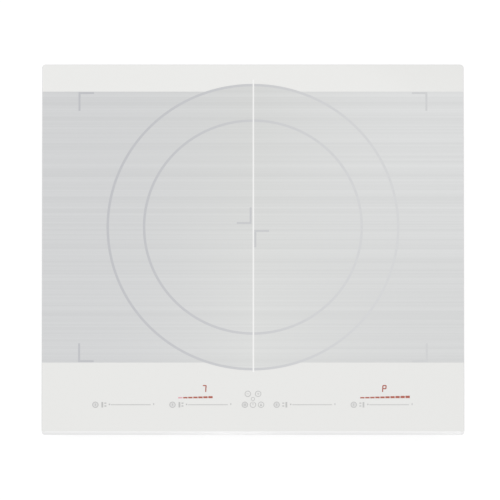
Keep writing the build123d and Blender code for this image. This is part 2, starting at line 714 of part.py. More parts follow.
# ------------------- mains filter: a choke, two capacitors and a relay block
FILTER_CHOKE_R = 20.0
FILTER_SPREAD = 80.0
RELAY_SIZE = (28.0, 13.0, 16.0)
RELAY_GAP = 12.0
with BuildPart() as filter_components:
    with BuildSketch(Plane.XY.offset(BOARD_TOP)):
        with Locations((FILTER_X, FILTER_Y)):
            Circle(FILTER_CHOKE_R)
            Circle(CHOKE_HOLE_R, mode=Mode.SUBTRACT)
    extrude(amount=CHOKE_H)
    with BuildSketch(Plane.XY.offset(BOARD_TOP)):
        with Locations((FILTER_X, FILTER_Y)):
            with GridLocations(FILTER_SPREAD, 1, 2, 1):
                Rectangle(CAPACITOR_W, CAPACITOR_D)
    extrude(amount=CAPACITOR_H)
    with BuildSketch(Plane.XY.offset(BOARD_TOP)):
        with Locations((FILTER_X, FILTER_Y - FILTER_CHOKE_R - RELAY_GAP)):
            Rectangle(RELAY_SIZE[0], RELAY_SIZE[1])
    extrude(amount=RELAY_SIZE[2])
filter_components.part.label = "filter_components"
export_step(filter_components.part, "parts/filter_components.step")

# ======================================== blower fans, one above each grille
CAVITY_GAP = 3.0
CAVITY_R = ROTOR_R + CAVITY_GAP
OUTLET_W = 52.0
FAN_CORNER_R = 8.0
INLET_R = 23.0
ROTOR_LIFT = 2.0
ROTOR_Z = FLOOR + FAN_WALL + ROTOR_LIFT
ROTOR_TOP = ROTOR_Z + ROTOR_H
STATOR_R = 11.8
HUB_WALL = 1.6
STATOR_GAP = 1.0
STATOR_Z = ROTOR_Z + HUB_WALL + STATOR_GAP
SHAFT_ENTRY = 8.0
SHAFT_TOP = STATOR_Z + SHAFT_ENTRY
BORE_TOP = SHAFT_TOP + 2 * STATOR_GAP
BLADE_L = 6.6
BLADE_MID_R = ROTOR_R - 3.7
BLADE_TURN = 25.0
for name, side in SIDES.items():
    fan_x = side * FAN_X
    with BuildPart() as fan_housing:
        with BuildSketch(Plane.XY.offset(FLOOR)):
            with Locations((fan_x, FAN_Y)):
                RectangleRounded(FAN_W, FAN_D, FAN_CORNER_R)
        extrude(amount=FAN_H)
        # the scroll: a round chamber that opens forward into the air duct
        with BuildSketch(Plane.XY.offset(FLOOR + FAN_WALL)):
            with Locations((fan_x, FAN_Y)):
                Circle(CAVITY_R)
            with Locations((fan_x, FAN_Y - FAN_D / 4)):
                Rectangle(OUTLET_W, FAN_D / 2)
        extrude(amount=FAN_H - 2 * FAN_WALL, mode=Mode.SUBTRACT)
        with BuildSketch(Plane.XY.offset(FLOOR)):
            with Locations((fan_x, FAN_Y)):
                Circle(INLET_R)
        extrude(amount=FAN_WALL, mode=Mode.SUBTRACT)
        # the motor's stator hangs from the roof and holds the shaft
        with BuildSketch(Plane.XY.offset(STATOR_Z)):
            with Locations((fan_x, FAN_Y)):
                Circle(STATOR_R)
        extrude(amount=FAN_TOP - FAN_WALL - STATOR_Z)
        with BuildSketch(Plane.XY.offset(STATOR_Z)):
            with Locations((fan_x, FAN_Y)):
                Circle(SHAFT_R + FAN_GAP)
        extrude(amount=BORE_TOP - STATOR_Z, mode=Mode.SUBTRACT)
    fan_housing.part.label = f"fan_housing_{name}"
    export_step(fan_housing.part, f"parts/fan_housing_{name}.step")

    with BuildPart() as fan_rotor:
        with BuildSketch(Plane.XY.offset(ROTOR_Z)):
            with Locations((fan_x, FAN_Y)):
                Circle(ROTOR_HUB_R)
        extrude(amount=ROTOR_H)
        with BuildSketch(Plane.XY.offset(ROTOR_TOP - HUB_WALL)):
            with Locations((fan_x, FAN_Y)):
                Circle(ROTOR_R)
        extrude(amount=HUB_WALL)
        with BuildSketch(Plane.XY.offset(ROTOR_Z + HUB_WALL)):
            with Locations((fan_x, FAN_Y)):
                Circle(ROTOR_HUB_R - HUB_WALL)
        extrude(amount=ROTOR_H - HUB_WALL, mode=Mode.SUBTRACT)
        with BuildSketch(Plane.XY.offset(ROTOR_Z)):
            with Locations((fan_x, FAN_Y)):
                with PolarLocations(BLADE_MID_R, BLADE_COUNT):
                    Rectangle(BLADE_L, BLADE_T, rotation=BLADE_TURN)
        extrude(amount=ROTOR_H - HUB_WALL)
        with BuildSketch(Plane.XY.offset(ROTOR_Z)):
            with Locations((fan_x, FAN_Y)):
                Circle(ROTOR_R)
                Circle(ROTOR_R - HUB_WALL, mode=Mode.SUBTRACT)
        extrude(amount=HUB_WALL)
        with BuildSketch(Plane.XY.offset(ROTOR_Z)):
            with Locations((fan_x, FAN_Y)):
                Circle(SHAFT_R)
        extrude(amount=SHAFT_TOP - ROTOR_Z)
    fan_rotor.part.label = f"fan_rotor_{name}"
    export_step(fan_rotor.part, f"parts/fan_rotor_{name}.step")

# ============================ terminal box inside the rear wall, with its flap
BOX_X = INNER_X - TERMINAL_FROM_SIDE - TERMINAL_BOX_W / 2
BOX_TOP = -HATCH_TOP + SHEET
BOX_H = BOX_TOP - FLOOR
HINGE_OUT = 1.0
HINGE_Y = TRAY_D / 2 + HINGE_OUT
HINGE_Z = -HATCH_TOP - EAR_T
EAR_R = 2.9
EAR_ROOT = 9.0
EAR_INSET = 2.0
EAR_BRACE = (4.0, 2.0)
ear_centres = (HATCH_X - HATCH_W / 2 + EAR_INSET, HATCH_X + HATCH_W / 2 - EAR_INSET)
with BuildPart() as terminal_box:
    with BuildSketch(Plane.XY.offset(FLOOR)):
        with Locations((BOX_X, INNER_Y - TERMINAL_BOX_D / 2)):
            Rectangle(TERMINAL_BOX_W, TERMINAL_BOX_D)
    extrude(amount=BOX_H)
    with BuildSketch(Plane.XZ.offset(-INNER_Y)):
        with Locations((BOX_X, FLOOR + BOX_H / 2)):
            Rectangle(TERMINAL_BOX_W - 2 * TERMINAL_WALL, BOX_H - 2 * TERMINAL_WALL)
    extrude(amount=TERMINAL_BOX_D - TERMINAL_WALL, mode=Mode.SUBTRACT)
    # two hinge ears reach out through the top corners of the hatch
    for ear_x in ear_centres:
        with BuildSketch(Plane.YZ.offset(ear_x - EAR_T / 2)):
            with Locations((HINGE_Y - EAR_ROOT / 2, HINGE_Z)):
                Rectangle(EAR_ROOT, 2 * EAR_R)
            with Locations((HINGE_Y, HINGE_Z)):
                Circle(EAR_R)
        extrude(amount=EAR_T)
        with BuildSketch(Plane.YZ.offset(ear_x - EAR_T / 2)):
            with Locations((HINGE_Y - EAR_ROOT + EAR_BRACE[0] / 2, HINGE_Z + EAR_R)):
                Rectangle(*EAR_BRACE)
        extrude(amount=EAR_T)
    with BuildSketch(Plane.YZ.offset(ear_centres[0] - EAR_T)):
        with Locations((HINGE_Y, HINGE_Z)):
            Circle(HINGE_R + RUN_GAP)
    extrude(amount=HATCH_W + EAR_T, mode=Mode.SUBTRACT)
terminal_box.part.label = "terminal_box"
export_step(terminal_box.part, "parts/terminal_box.step")

BLOCK_D = 22.0
BLOCK_H = 20.0
BLOCK_WALL = 4.0
ENTRY_L = 13.2
BLOCK_Y = INNER_Y - TERMINAL_BOX_D + TERMINAL_WALL + BLOCK_D / 2
BLOCK_Z = FLOOR + TERMINAL_WALL
with BuildPart() as terminal_block:
    with BuildSketch(Plane.XY.offset(BLOCK_Z)):
        with Locations((HATCH_X, BLOCK_Y)):
            Rectangle(POLE_COUNT * POLE_PITCH, BLOCK_D)
    extrude(amount=BLOCK_H)
    # wire entries face the hatch and the screw wells open upwards
    with BuildSketch(Plane.XZ.offset(-(BLOCK_Y + BLOCK_D / 2))):
        with Locations((HATCH_X, BLOCK_Z + BLOCK_H / 3)):
            with GridLocations(POLE_PITCH, 1, POLE_COUNT, 1):
                Rectangle(POLE_PITCH - BLOCK_WALL, BLOCK_H / 3)
    extrude(amount=ENTRY_L, mode=Mode.SUBTRACT)
    with BuildSketch(Plane.XY.offset(BLOCK_Z + BLOCK_H)):
        with Locations((HATCH_X, BLOCK_Y)):
            with GridLocations(POLE_PITCH, 1, POLE_COUNT, 1):
                Circle(SCREW_HEAD_R)
    extrude(amount=-BLOCK_H / 3, mode=Mode.SUBTRACT)
terminal_block.part.label = "terminal_block"
export_step(terminal_block.part, "parts/terminal_block.step")

FLAP_Y = TRAY_D / 2 + FLAP_GAP
FLAP_BOTTOM = -HATCH_TOP - HATCH_H - FLAP_MARGIN
NECK_GAP = 1.6
NECK_Z = HINGE_Z - EAR_R - NECK_GAP
PIN_L = HATCH_W - 2.0
BARREL_L = ear_centres[1] - ear_centres[0] - EAR_T - 2 * FLAP_GAP
GRIP = 2.0
with BuildPart() as terminal_cover:
    with BuildSketch(Plane.YZ.offset(HATCH_X)):
        with Locations((HINGE_Y, HINGE_Z)):
            Circle(BARREL_R)
        with Locations((FLAP_Y + FLAP_T / 2, (HINGE_Z + NECK_Z) / 2)):
            Rectangle(FLAP_T, HINGE_Z - NECK_Z)
    extrude(amount=BARREL_L / 2, both=True)
    with BuildSketch(Plane.YZ.offset(HATCH_X)):
        with Locations((FLAP_Y + FLAP_T / 2, (NECK_Z + FLAP_BOTTOM) / 2)):
            Rectangle(FLAP_T, NECK_Z - FLAP_BOTTOM)
        with Locations((FLAP_Y + FLAP_T + GRIP / 2, FLAP_BOTTOM + GRIP / 2)):
            Rectangle(GRIP, GRIP)
    extrude(amount=HATCH_W / 2 + FLAP_MARGIN, both=True)
    with BuildSketch(Plane.YZ.offset(HATCH_X)):
        with Locations((HINGE_Y, HINGE_Z)):
            Circle(HINGE_R)
    extrude(amount=PIN_L / 2, both=True)
terminal_cover.part.label = "terminal_cover"
export_step(terminal_cover.part, "parts/terminal_cover.step")

GLAND_FLANGE = 2.5
GLAND_L = 12.0
GLAND_RIM = 2.0
NUT_R = 12.0
NUT_T = 4.0
with BuildPart() as cable_gland:
    with BuildSketch(Plane.XZ.offset(-TRAY_D / 2)):
        with Locations((GLAND_X, GLAND_Z)):
            Circle(GLAND_R + GLAND_RIM)
    extrude(amount=-GLAND_FLANGE)
    with BuildSketch(Plane.XZ.offset(-TRAY_D / 2)):
        with Locations((GLAND_X, GLAND_Z)):
            Circle(GLAND_R)
    extrude(amount=GLAND_L)
    with BuildSketch(Plane.XZ.offset(-INNER_Y)):
        with Locations((GLAND_X, GLAND_Z)):
            RegularPolygon(NUT_R, 6)
    extrude(amount=NUT_T)
    with BuildSketch(Plane.XZ.offset(-(TRAY_D / 2 + GLAND_FLANGE))):
        with Locations((GLAND_X, GLAND_Z)):
            Circle(GLAND_BORE_R)
    extrude(amount=GLAND_L + GLAND_FLANGE, mode=Mode.SUBTRACT)
cable_gland.part.label = "cable_gland"
export_step(cable_gland.part, "parts/cable_gland.step")

# ==================================== touch control unit below the front edge
HOLDER_W = CONTROL_W + 2 * (HOLDER_WALL + RUN_GAP)
HOLDER_D = CONTROL_D + 2 * (HOLDER_WALL + RUN_GAP)
with BuildPart() as control_holder:
    with BuildSketch(Plane.XY.offset(HOLDER_Z)):
        with Locations((0, CONTROL_Y)):
            Rectangle(HOLDER_W, HOLDER_D)
    extrude(amount=CONTROL_TOP - HOLDER_Z)
    with BuildSketch(Plane.XY.offset(CONTROL_Z)):
        with Locations((0, CONTROL_Y)):
            Rectangle(CONTROL_W + 2 * RUN_GAP, CONTROL_D + 2 * RUN_GAP)
    extrude(amount=CONTROL_TOP - CONTROL_Z, mode=Mode.SUBTRACT)
control_holder.part.label = "control_holder"
export_step(control_holder.part, "parts/control_holder.step")

SOCKET_D = 6.0
SOCKET_H = 5.0
SOCKET_INSET = 6.0
SOCKET_Y = CONTROL_Y + CONTROL_D / 2 - SOCKET_INSET
with BuildPart() as control_board:
    with BuildSketch(Plane.XY.offset(CONTROL_Z)):
        with Locations((0, CONTROL_Y)):
            Rectangle(CONTROL_W, CONTROL_D)
    extrude(amount=BOARD_T)
    with BuildSketch(Plane.XY.offset(CONTROL_TOP)):
        with Locations((-RIBBON_X, SOCKET_Y), (RIBBON_X, SOCKET_Y)):
            Rectangle(CONNECTOR_W, SOCKET_D)
    extrude(amount=SOCKET_H)
control_board.part.label = "control_board"
export_step(control_board.part, "parts/control_board.step")

LIGHT_GAP = 0.3
digit_spots = [(x, FRONT + DIGITS_FROM_FRONT) for x in BAR_CENTRES]
bar_spots = [(x, FRONT + BARS_FROM_FRONT) for x in BAR_CENTRES]
with BuildPart() as display_modules:
    with BuildSketch(Plane.XY.offset(CONTROL_TOP)):
        with Locations(*digit_spots):
            Rectangle(DIGIT_W, DIGIT_D)
        with Locations(*bar_spots):
            Rectangle(BAR_L, BAR_D)
    extrude(amount=CONTROL_BOARD_DROP - LIGHT_GAP)
display_modules.part.label = "display_modules"
export_step(display_modules.part, "parts/display_modules.step")

KEY_Y = FRONT + KEYS_FROM_FRONT
UPPER_KEY_Y = FRONT + UPPER_KEYS_FROM_FRONT
touch_spots = [(x, KEY_Y) for x in CENTRE_KEYS] + [(x, UPPER_KEY_Y) for x in UPPER_KEYS]
for start in SLIDER_STARTS:
    touch_spots += [(start + offset, KEY_Y) for offset in ZONE_KEY_OFFSETS]
    touch_spots += [
        (start + SLIDER_L * (n + 0.5) / SLIDER_PADS, KEY_Y) for n in range(SLIDER_PADS)
    ]
with BuildPart() as touch_springs:
    with BuildSketch(Plane.XY.offset(CONTROL_TOP)):
        with Locations(*touch_spots):
            Circle(TOUCH_R)
            Circle(TOUCH_HOLE_R, mode=Mode.SUBTRACT)
    extrude(amount=CONTROL_BOARD_DROP)
touch_springs.part.label = "touch_springs"
export_step(touch_springs.part, "parts/touch_springs.step")

# two flat leads: back out of a socket, down, and back into a power board
RIBBON_R = 3.0
lead_start = (SOCKET_Y + SOCKET_D / 2, CONTROL_TOP + SOCKET_H / 2)
LEAD_GAP = 6.0
lead_drop = CONTROL_Y + HOLDER_D / 2 + LEAD_GAP
lead_end = (POWER_Y0 + CONNECTOR_EDGE, BOARD_TOP + CONNECTOR_H / 2)
with BuildPart() as ribbon_leads:
    for side in SIDES.values():
        with BuildLine(Plane.YZ.offset(side * RIBBON_X)) as lead:
            FilletPolyline(
                lead_start,
                (lead_drop, lead_start[1]),
                (lead_drop, lead_end[1]),
                lead_end,
                radius=RIBBON_R,
            )
        with BuildSketch(Plane(origin=lead.line @ 0, x_dir=(1, 0, 0), z_dir=lead.line % 0)):
            Rectangle(RIBBON_W, RIBBON_T)
        sweep(path=lead.line)
ribbon_leads.part.label = "ribbon_leads"
export_step(ribbon_leads.part, "parts/ribbon_leads.step")

# ========================================== four swivelling worktop clamps
HUB_TOP = POCKET_ROOF - CLAMP_GAP
HUB_H = 4.1
ARM_Z = HUB_TOP - HUB_H
TOOTH_H = 2.0
for corner, (clamp_x, clamp_y) in clamp_spots.items():
    inward = -CORNERS[corner][0]
    tip_x = clamp_x + inward * CLAMP_REACH
    with BuildPart() as worktop_clamp:
        with BuildSketch(Plane.XY.offset(ARM_Z)):
            with Locations(((clamp_x + tip_x) / 2, clamp_y)):
                Rectangle(CLAMP_REACH, CLAMP_W)
            with Locations((clamp_x, clamp_y)):
                Circle(CLAMP_HUB_R)
        extrude(amount=CLAMP_T)
        with BuildSketch(Plane.XY.offset(ARM_Z)):
            with Locations((clamp_x, clamp_y)):
                Circle(CLAMP_HUB_R)
        extrude(amount=HUB_H)
        with BuildSketch(Plane.XY.offset(ARM_Z)):
            with Locations((tip_x - inward * CLAMP_T / 2, clamp_y)):
                Rectangle(CLAMP_T, CLAMP_W)
        extrude(amount=CLAMP_T + TOOTH_H)
        with BuildSketch(Plane.XY.offset(ARM_Z)):
            with Locations((clamp_x, clamp_y)):
                Circle(CLAMP_HOLE_R)
        extrude(amount=HUB_H, mode=Mode.SUBTRACT)
    worktop_clamp.part.label = f"worktop_clamp_{corner}"
    export_step(worktop_clamp.part, f"parts/worktop_clamp_{corner}.step")

CLAMP_HEAD_R = 4.5
CLAMP_HEAD_H = 3.0
CLAMP_SCREW_END = 4.0
HEAD_TOP = ARM_Z - CLAMP_GAP
with BuildPart() as clamp_screws:
    with BuildSketch(Plane.XY.offset(HEAD_TOP)):
        with Locations(*clamp_spots.values()):
            Circle(CLAMP_HEAD_R)
    extrude(amount=-CLAMP_HEAD_H)
    with BuildSketch(Plane.XY.offset(HEAD_TOP)):
        with Locations(*clamp_spots.values()):
            Circle(CLAMP_SCREW_R)
    extrude(amount=POCKET_ROOF + SHEET + CLAMP_SCREW_END - HEAD_TOP)
clamp_screws.part.label = "clamp_screws"
export_step(clamp_screws.part, "parts/clamp_screws.step")
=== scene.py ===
"""A built-in induction cooktop: finishes, printed decor and display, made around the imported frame.

The casing, coils, boards, fans and clamps are the frame's own nodes and get their finishes here.
The glass plate is made again with its polished front bevel, and everything printed on it is a thin
film of ink with its own outline. Lengths are in metres, X to the right, Y to the back, Z up.
"""

import json
import math

import bpy
import numpy as np
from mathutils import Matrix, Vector


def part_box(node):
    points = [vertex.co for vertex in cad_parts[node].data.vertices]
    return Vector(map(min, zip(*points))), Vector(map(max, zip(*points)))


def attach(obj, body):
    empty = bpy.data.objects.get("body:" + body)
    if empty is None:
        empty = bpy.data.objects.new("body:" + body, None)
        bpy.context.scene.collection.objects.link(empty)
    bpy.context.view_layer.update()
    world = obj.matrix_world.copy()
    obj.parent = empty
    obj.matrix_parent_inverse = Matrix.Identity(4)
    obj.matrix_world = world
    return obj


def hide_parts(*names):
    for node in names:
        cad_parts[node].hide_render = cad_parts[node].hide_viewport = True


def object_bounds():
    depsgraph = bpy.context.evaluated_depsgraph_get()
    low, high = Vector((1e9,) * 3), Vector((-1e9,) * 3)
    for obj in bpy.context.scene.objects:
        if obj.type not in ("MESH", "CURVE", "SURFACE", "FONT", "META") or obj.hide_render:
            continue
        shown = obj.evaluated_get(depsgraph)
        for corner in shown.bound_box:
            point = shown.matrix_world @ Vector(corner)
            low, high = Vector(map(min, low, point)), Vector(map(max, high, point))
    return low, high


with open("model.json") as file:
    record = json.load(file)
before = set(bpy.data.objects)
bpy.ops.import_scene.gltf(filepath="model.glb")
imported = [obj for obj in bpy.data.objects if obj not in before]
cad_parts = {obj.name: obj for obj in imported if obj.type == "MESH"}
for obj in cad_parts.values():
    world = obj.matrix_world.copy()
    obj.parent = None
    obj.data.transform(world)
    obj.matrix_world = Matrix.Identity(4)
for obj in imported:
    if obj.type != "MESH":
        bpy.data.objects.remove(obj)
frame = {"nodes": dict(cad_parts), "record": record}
cad_low, cad_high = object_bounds()
MM = 0.001
BODY = "casing"

# ------------------------------------------------------------------ places on the plate
GLASS_LOW, GLASS_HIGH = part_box("glass_plate")
WIDTH = GLASS_HIGH.x - GLASS_LOW.x
DEPTH = GLASS_HIGH.y - GLASS_LOW.y
BACK, FRONT = GLASS_HIGH.y, GLASS_LOW.y
TOP, UNDERSIDE = GLASS_HIGH.z, GLASS_LOW.z
INK_RELIEF = 0.10 * MM          # how far the bare glass lies below the highest ink
FIELD_TOP = TOP - 0.06 * MM
INK_TOP = TOP - 0.03 * MM
LINE_TOP = TOP
INK_ROOT = TOP - 0.30 * MM

ZONE_W, ZONE_D = 240 * MM, 189.75 * MM
FIELD_Y = BACK - 228.75 * MM       # middle of the cooking field
RING_R = (201.3 * MM, 151.3 * MM)
KEY_Y = FRONT + 41.8 * MM       # row of touch keys
UPPER_KEY_Y = FRONT + 57.1 * MM
BELL_Y = FRONT + 49.9 * MM
BAR_Y = FRONT + 51.9 * MM       # level bars
DIGIT_Y = FRONT + 64.3 * MM
SLIDER_STARTS = [x * MM for x in (-197.8, -92.0, 50.9, 156.7)]
SLIDER_SIDES = (-1, -1, 1, 1)   # the side of the hob that each slider works
SLIDER_L = 61.6 * MM


# ========================================================= colours of the plate's finishes
def level_to_linear(level):
    """The linear value of a display level from 0 to 255, by the 2.4 power of the sRGB curve."""
    return ((level / 255 + 0.055) / 1.055) ** 2.4


def grey(level):
    return (level_to_linear(level),) * 3


def tint(red, green, blue):
    return tuple(level_to_linear(level) for level in (red, green, blue))


# The white glass's two tones are painted light: lighter at the back, and darker at the front by
# painted shade.
GLASS_FAR_PAINTED_LIGHT = tint(232, 232, 230)
GLASS_NEAR_PAINTED_SHADE = tint(227, 227, 225)
# Grey levels of the glass edge: painted shade on the side and back edges, the bevel's slope, and a
# painted highlight at the bevel's crest.
EDGE_SIDE_PAINTED_SHADE, EDGE_SLOPE, EDGE_CREST_PAINTED_HIGHLIGHT = 216, (229, 233), 240     # grey levels
FIELD_LEFT = tint(207, 208, 209)
FIELD_MIDDLE_NEAR = tint(216, 217, 216)
FIELD_MIDDLE_FAR = tint(211, 212, 211)
FIELD_RIGHT_NEAR = tint(211, 212, 212)
FIELD_RIGHT_FAR = tint(218, 219, 219)
STRIPE_DARK, STRIPE_PALE = 250.5, 1.035         # the field's stripes: a grey level, and a factor
RING_LEFT, RING_RIGHT = tint(190, 191, 195), tint(212, 213, 214)
MARK_LEFT, MARK_RIGHT = tint(190, 191, 195), tint(207, 208, 209)
KEY_LEFT, KEY_RIGHT = tint(188, 188, 187), tint(194, 194, 193)
KEY_PALE = tint(217, 217, 216)
LIT_GLOW = (0.18, 0.030, 0.018), (0.26, 0.05, 0.03)
LINE_WHITE = tint(243, 243, 242)
LIT_BODY = (0.18, 0.050, 0.032), (0.24, 0.070, 0.045)
FAINT_BODY = tint(205, 150, 160), tint(215, 165, 172)
FAINT_GLOW = (0.12, 0.03, 0.04), (0.16, 0.05, 0.05)


# =========================================================== shader maths and nodes
MIX_FIRST, MIX_SECOND, MIX_COLOUR = 6, 7, 2     # where a Mix node keeps its colour sockets


class Socket:
    """An output socket that takes part in Python arithmetic by adding Math nodes."""

    def __init__(self, shader, out):
        self.shader = shader
        self.out = out

    def math(self, operation, *values, clamp=False):
        settings = {"operation": operation, "use_clamp": clamp}
        return self.shader.node("ShaderNodeMath", settings, dict(enumerate(values)))

    def __add__(self, other):
        return self.math("ADD", self, other)

    def __radd__(self, other):
        return self.math("ADD", other, self)

    def __sub__(self, other):
        return self.math("SUBTRACT", self, other)

    def __rsub__(self, other):
        return self.math("SUBTRACT", other, self)

    def __mul__(self, other):
        return self.math("MULTIPLY", self, other)

    def __rmul__(self, other):
        return self.math("MULTIPLY", other, self)

    def sine(self):
        return self.math("SINE", self)

    def clamped(self):
        return self.math("ADD", self, 0.0, clamp=True)

    def between(self, low, high, out_low=0.0, out_high=1.0):
        """This value carried smoothly from one range to another, held at the ends."""
        values = {"Value": self, "From Min": low, "From Max": high}
        values.update({"To Min": out_low, "To Max": out_high})
        return self.shader.node("ShaderNodeMapRange", {"interpolation_type": "SMOOTHSTEP"}, values)


class Finish:
    """One material: a Principled surface and the nodes that feed it."""

    def __init__(self, name, **constants):
        self.material = bpy.data.materials.new(name)
        self.material.use_nodes = True
        self.tree = self.material.node_tree
        self.surface = self.tree.nodes["Principled BSDF"]
        for socket, value in constants.items():
            self.surface.inputs[socket.replace("_", " ")].default_value = value

    def node(self, kind, settings=None, values=None, output=0):
        """A node of any type: its settings first, then the values or links of its sockets."""
        made = self.tree.nodes.new(kind)
        for key, value in (settings or {}).items():
            setattr(made, key, value)
        for key, value in (values or {}).items():
            if isinstance(value, Socket):
                self.tree.links.new(value.out, made.inputs[key])
            else:
                made.inputs[key].default_value = value
        return Socket(self, made.outputs[output])

    def feed(self, socket, value):
        self.tree.links.new(value.out, self.surface.inputs[socket])

    def place(self):
        """Position in the object's own frame, in metres."""
        return self.node("ShaderNodeTexCoord", output="Object")

    def along(self, axis):
        """One coordinate of the position: X, Y or Z."""
        return self.node("ShaderNodeSeparateXYZ", None, {"Vector": self.place()}, axis)

    def stretched(self, x, y, z, turn=0.0):
        """Position scaled along each axis, so that a pattern on it is drawn out or packed."""
        values = {"Vector": self.place(), "Scale": (x, y, z), "Rotation": (0.0, 0.0, turn)}
        return self.node("ShaderNodeMapping", None, values)

    def noise(self, scale, detail=2.0, roughness=0.5, vector=None):
        """Soft noise on the position, or on a stretched copy of it."""
        values = {"Vector": vector or self.place(), "Scale": scale, "Detail": detail}
        values["Roughness"] = roughness
        return self.node("ShaderNodeTexNoise", {"noise_dimensions": "3D"}, values)

    def cells(self, scale, output="Distance"):
        """Voronoi cells: the distance to the nearest cell's middle, or that cell's own colour."""
        values = {"Vector": self.place(), "Scale": scale}
        return self.node("ShaderNodeTexVoronoi", {"feature": "F1"}, values, output)

    def mix(self, factor, first, second, blend="MIX"):
        """Colour that goes from the first to the second, or to their product with MULTIPLY."""
        values = {"Factor": factor, MIX_FIRST: as_colour(first), MIX_SECOND: as_colour(second)}
        settings = {"data_type": "RGBA", "blend_type": blend}
        return self.node("ShaderNodeMix", settings, values, MIX_COLOUR)

    def bump(self, height, strength=0.2, distance=0.0002):
        values = {"Height": height, "Strength": strength, "Distance": distance}
        self.feed("Normal", self.node("ShaderNodeBump", None, values))


def as_colour(value):
    return value if isinstance(value, Socket) else (*value, 1.0)


# ================================================================ finishes of the plate
def white_glass():
    """Opaque white glass-ceramic: a faintly mottled body under a polished skin, with painted shade
    that darkens it towards the front.
    """
    finish = Finish("white_glass", Specular_IOR_Level=0.5, IOR=1.5)
    mottle = finish.noise(90.0, 3.0, 0.6)
    smear = finish.noise(7.0, 2.0, 0.5)
    # Painted shade and light: the glass goes from darker at the front to lighter at the back.
    base = finish.mix(finish.along("Y").between(FRONT, BACK), GLASS_NEAR_PAINTED_SHADE, GLASS_FAR_PAINTED_LIGHT)
    cloud = (mottle - 0.5) * 0.02 + (smear - 0.5) * 0.012
    clouded = cloud.between(-0.01, 0.01, 0.0, 0.03)
    finish.feed("Base Color", finish.mix(clouded, base, (0.70, 0.70, 0.70)))
    finish.feed("Roughness", smear.between(0.3, 0.7, 0.05, 0.11))
    return finish.material


def glass_edge():
    """Ground and polished glass edge: fine lines along it, a painted highlight along the bevel's
    top, and painted shade on the sides and the back.
    """
    finish = Finish("glass_edge", Specular_IOR_Level=0.5, IOR=1.5)
    lines = finish.noise(1.0, 3.0, 0.6, finish.stretched(15.0, 15.0, 4000.0))
    cloud = finish.noise(14.0, 2.0, 0.5)
    y = finish.along("Y")
    # Painted shade: the edges at the sides and the back take a darker grey than the front bevel.
    front = y.between(FRONT + 6 * MM, FRONT + 5 * MM)
    # Painted highlight: a bright band along the top of the front bevel.
    painted_crest_light = y.between(FRONT + 3.0 * MM, FRONT + 3.4 * MM)
    slope = finish.mix(cloud, *[grey(level) for level in EDGE_SLOPE])
    base = finish.mix(painted_crest_light, slope, grey(EDGE_CREST_PAINTED_HIGHLIGHT))
    finish.feed("Base Color", finish.mix(front, grey(EDGE_SIDE_PAINTED_SHADE), base))
    finish.feed("Roughness", lines.between(0.2, 0.8, 0.08, 0.2))
    finish.bump(lines, 0.05, 0.00005)
    return finish.material


def field_print():
    """Grey ceramic ink of the cooking field, screened in fine lines across the plate."""
    finish = Finish("field_print", Specular_IOR_Level=0.4, IOR=1.5)
    across = finish.along("X").between(-ZONE_W, ZONE_W)
    depth = finish.along("Y").between(FIELD_Y - ZONE_D, FIELD_Y + ZONE_D)
    broad = finish.noise(1.0, 2.0, 0.6, finish.stretched(0.15, 80.0, 1.0))
    fine = finish.noise(1.0, 1.0, 0.5, finish.stretched(0.8, 420.0, 1.0))
    grain = finish.noise(1300.0, 2.0, 0.6)
    middle = finish.mix(depth, FIELD_MIDDLE_NEAR, FIELD_MIDDLE_FAR)
    right = finish.mix(depth, FIELD_RIGHT_NEAR, FIELD_RIGHT_FAR)
    base = finish.mix((across * 2.0).clamped(), FIELD_LEFT, middle)
    base = finish.mix((across * 2.0 - 1.0).clamped(), base, right)
    line = (broad - 0.5) * 1.5 + (fine - 0.5) * 0.9 + (grain - 0.5) * 0.15
    stripe = line.between(-0.35, 0.35)
    strength = finish.mix(stripe, grey(STRIPE_DARK), (STRIPE_PALE,) * 3)
    finish.feed("Base Color", finish.mix(1.0, base, strength, "MULTIPLY"))
    finish.feed("Roughness", stripe.between(0.0, 1.0, 0.28, 0.40))
    finish.bump(fine, 0.08, 0.00003)
    return finish.material


def ink(name, left, right):
    """Opaque printed ink with a fine screen grain, from its left tone to its right one."""
    finish = Finish(name, Specular_IOR_Level=0.4)
    grain = finish.noise(2200.0, 2.0, 0.6)
    base = finish.mix(finish.along("X").between(-ZONE_W, ZONE_W), left, right)
    speckle = grain.between(0.2, 0.8, 0.0, 0.12)
    finish.feed("Base Color", finish.mix(speckle, base, (0.5, 0.5, 0.5)))
    finish.feed("Roughness", grain.between(0.0, 1.0, 0.35, 0.5))
    return finish.material


def lit_segment():
    """A red light guide that shines through the glass, a little uneven."""
    finish = Finish("lit_segment", Roughness=0.35, Emission_Strength=0.9)
    cloud = finish.noise(900.0, 2.0, 0.5)
    finish.feed("Base Color", finish.mix(cloud, *LIT_BODY))
    finish.feed("Emission Color", finish.mix(cloud, *LIT_GLOW))
    return finish.material


def faint_segment():
    """The lowest light guide of a bar, dimmed to a pale red."""
    finish = Finish("faint_segment", Roughness=0.35, Emission_Strength=0.5)
    cloud = finish.noise(900.0, 2.0, 0.5)
    finish.feed("Base Color", finish.mix(cloud, *FAINT_BODY))
    finish.feed("Emission Color", finish.mix(cloud, *FAINT_GLOW))
    return finish.material


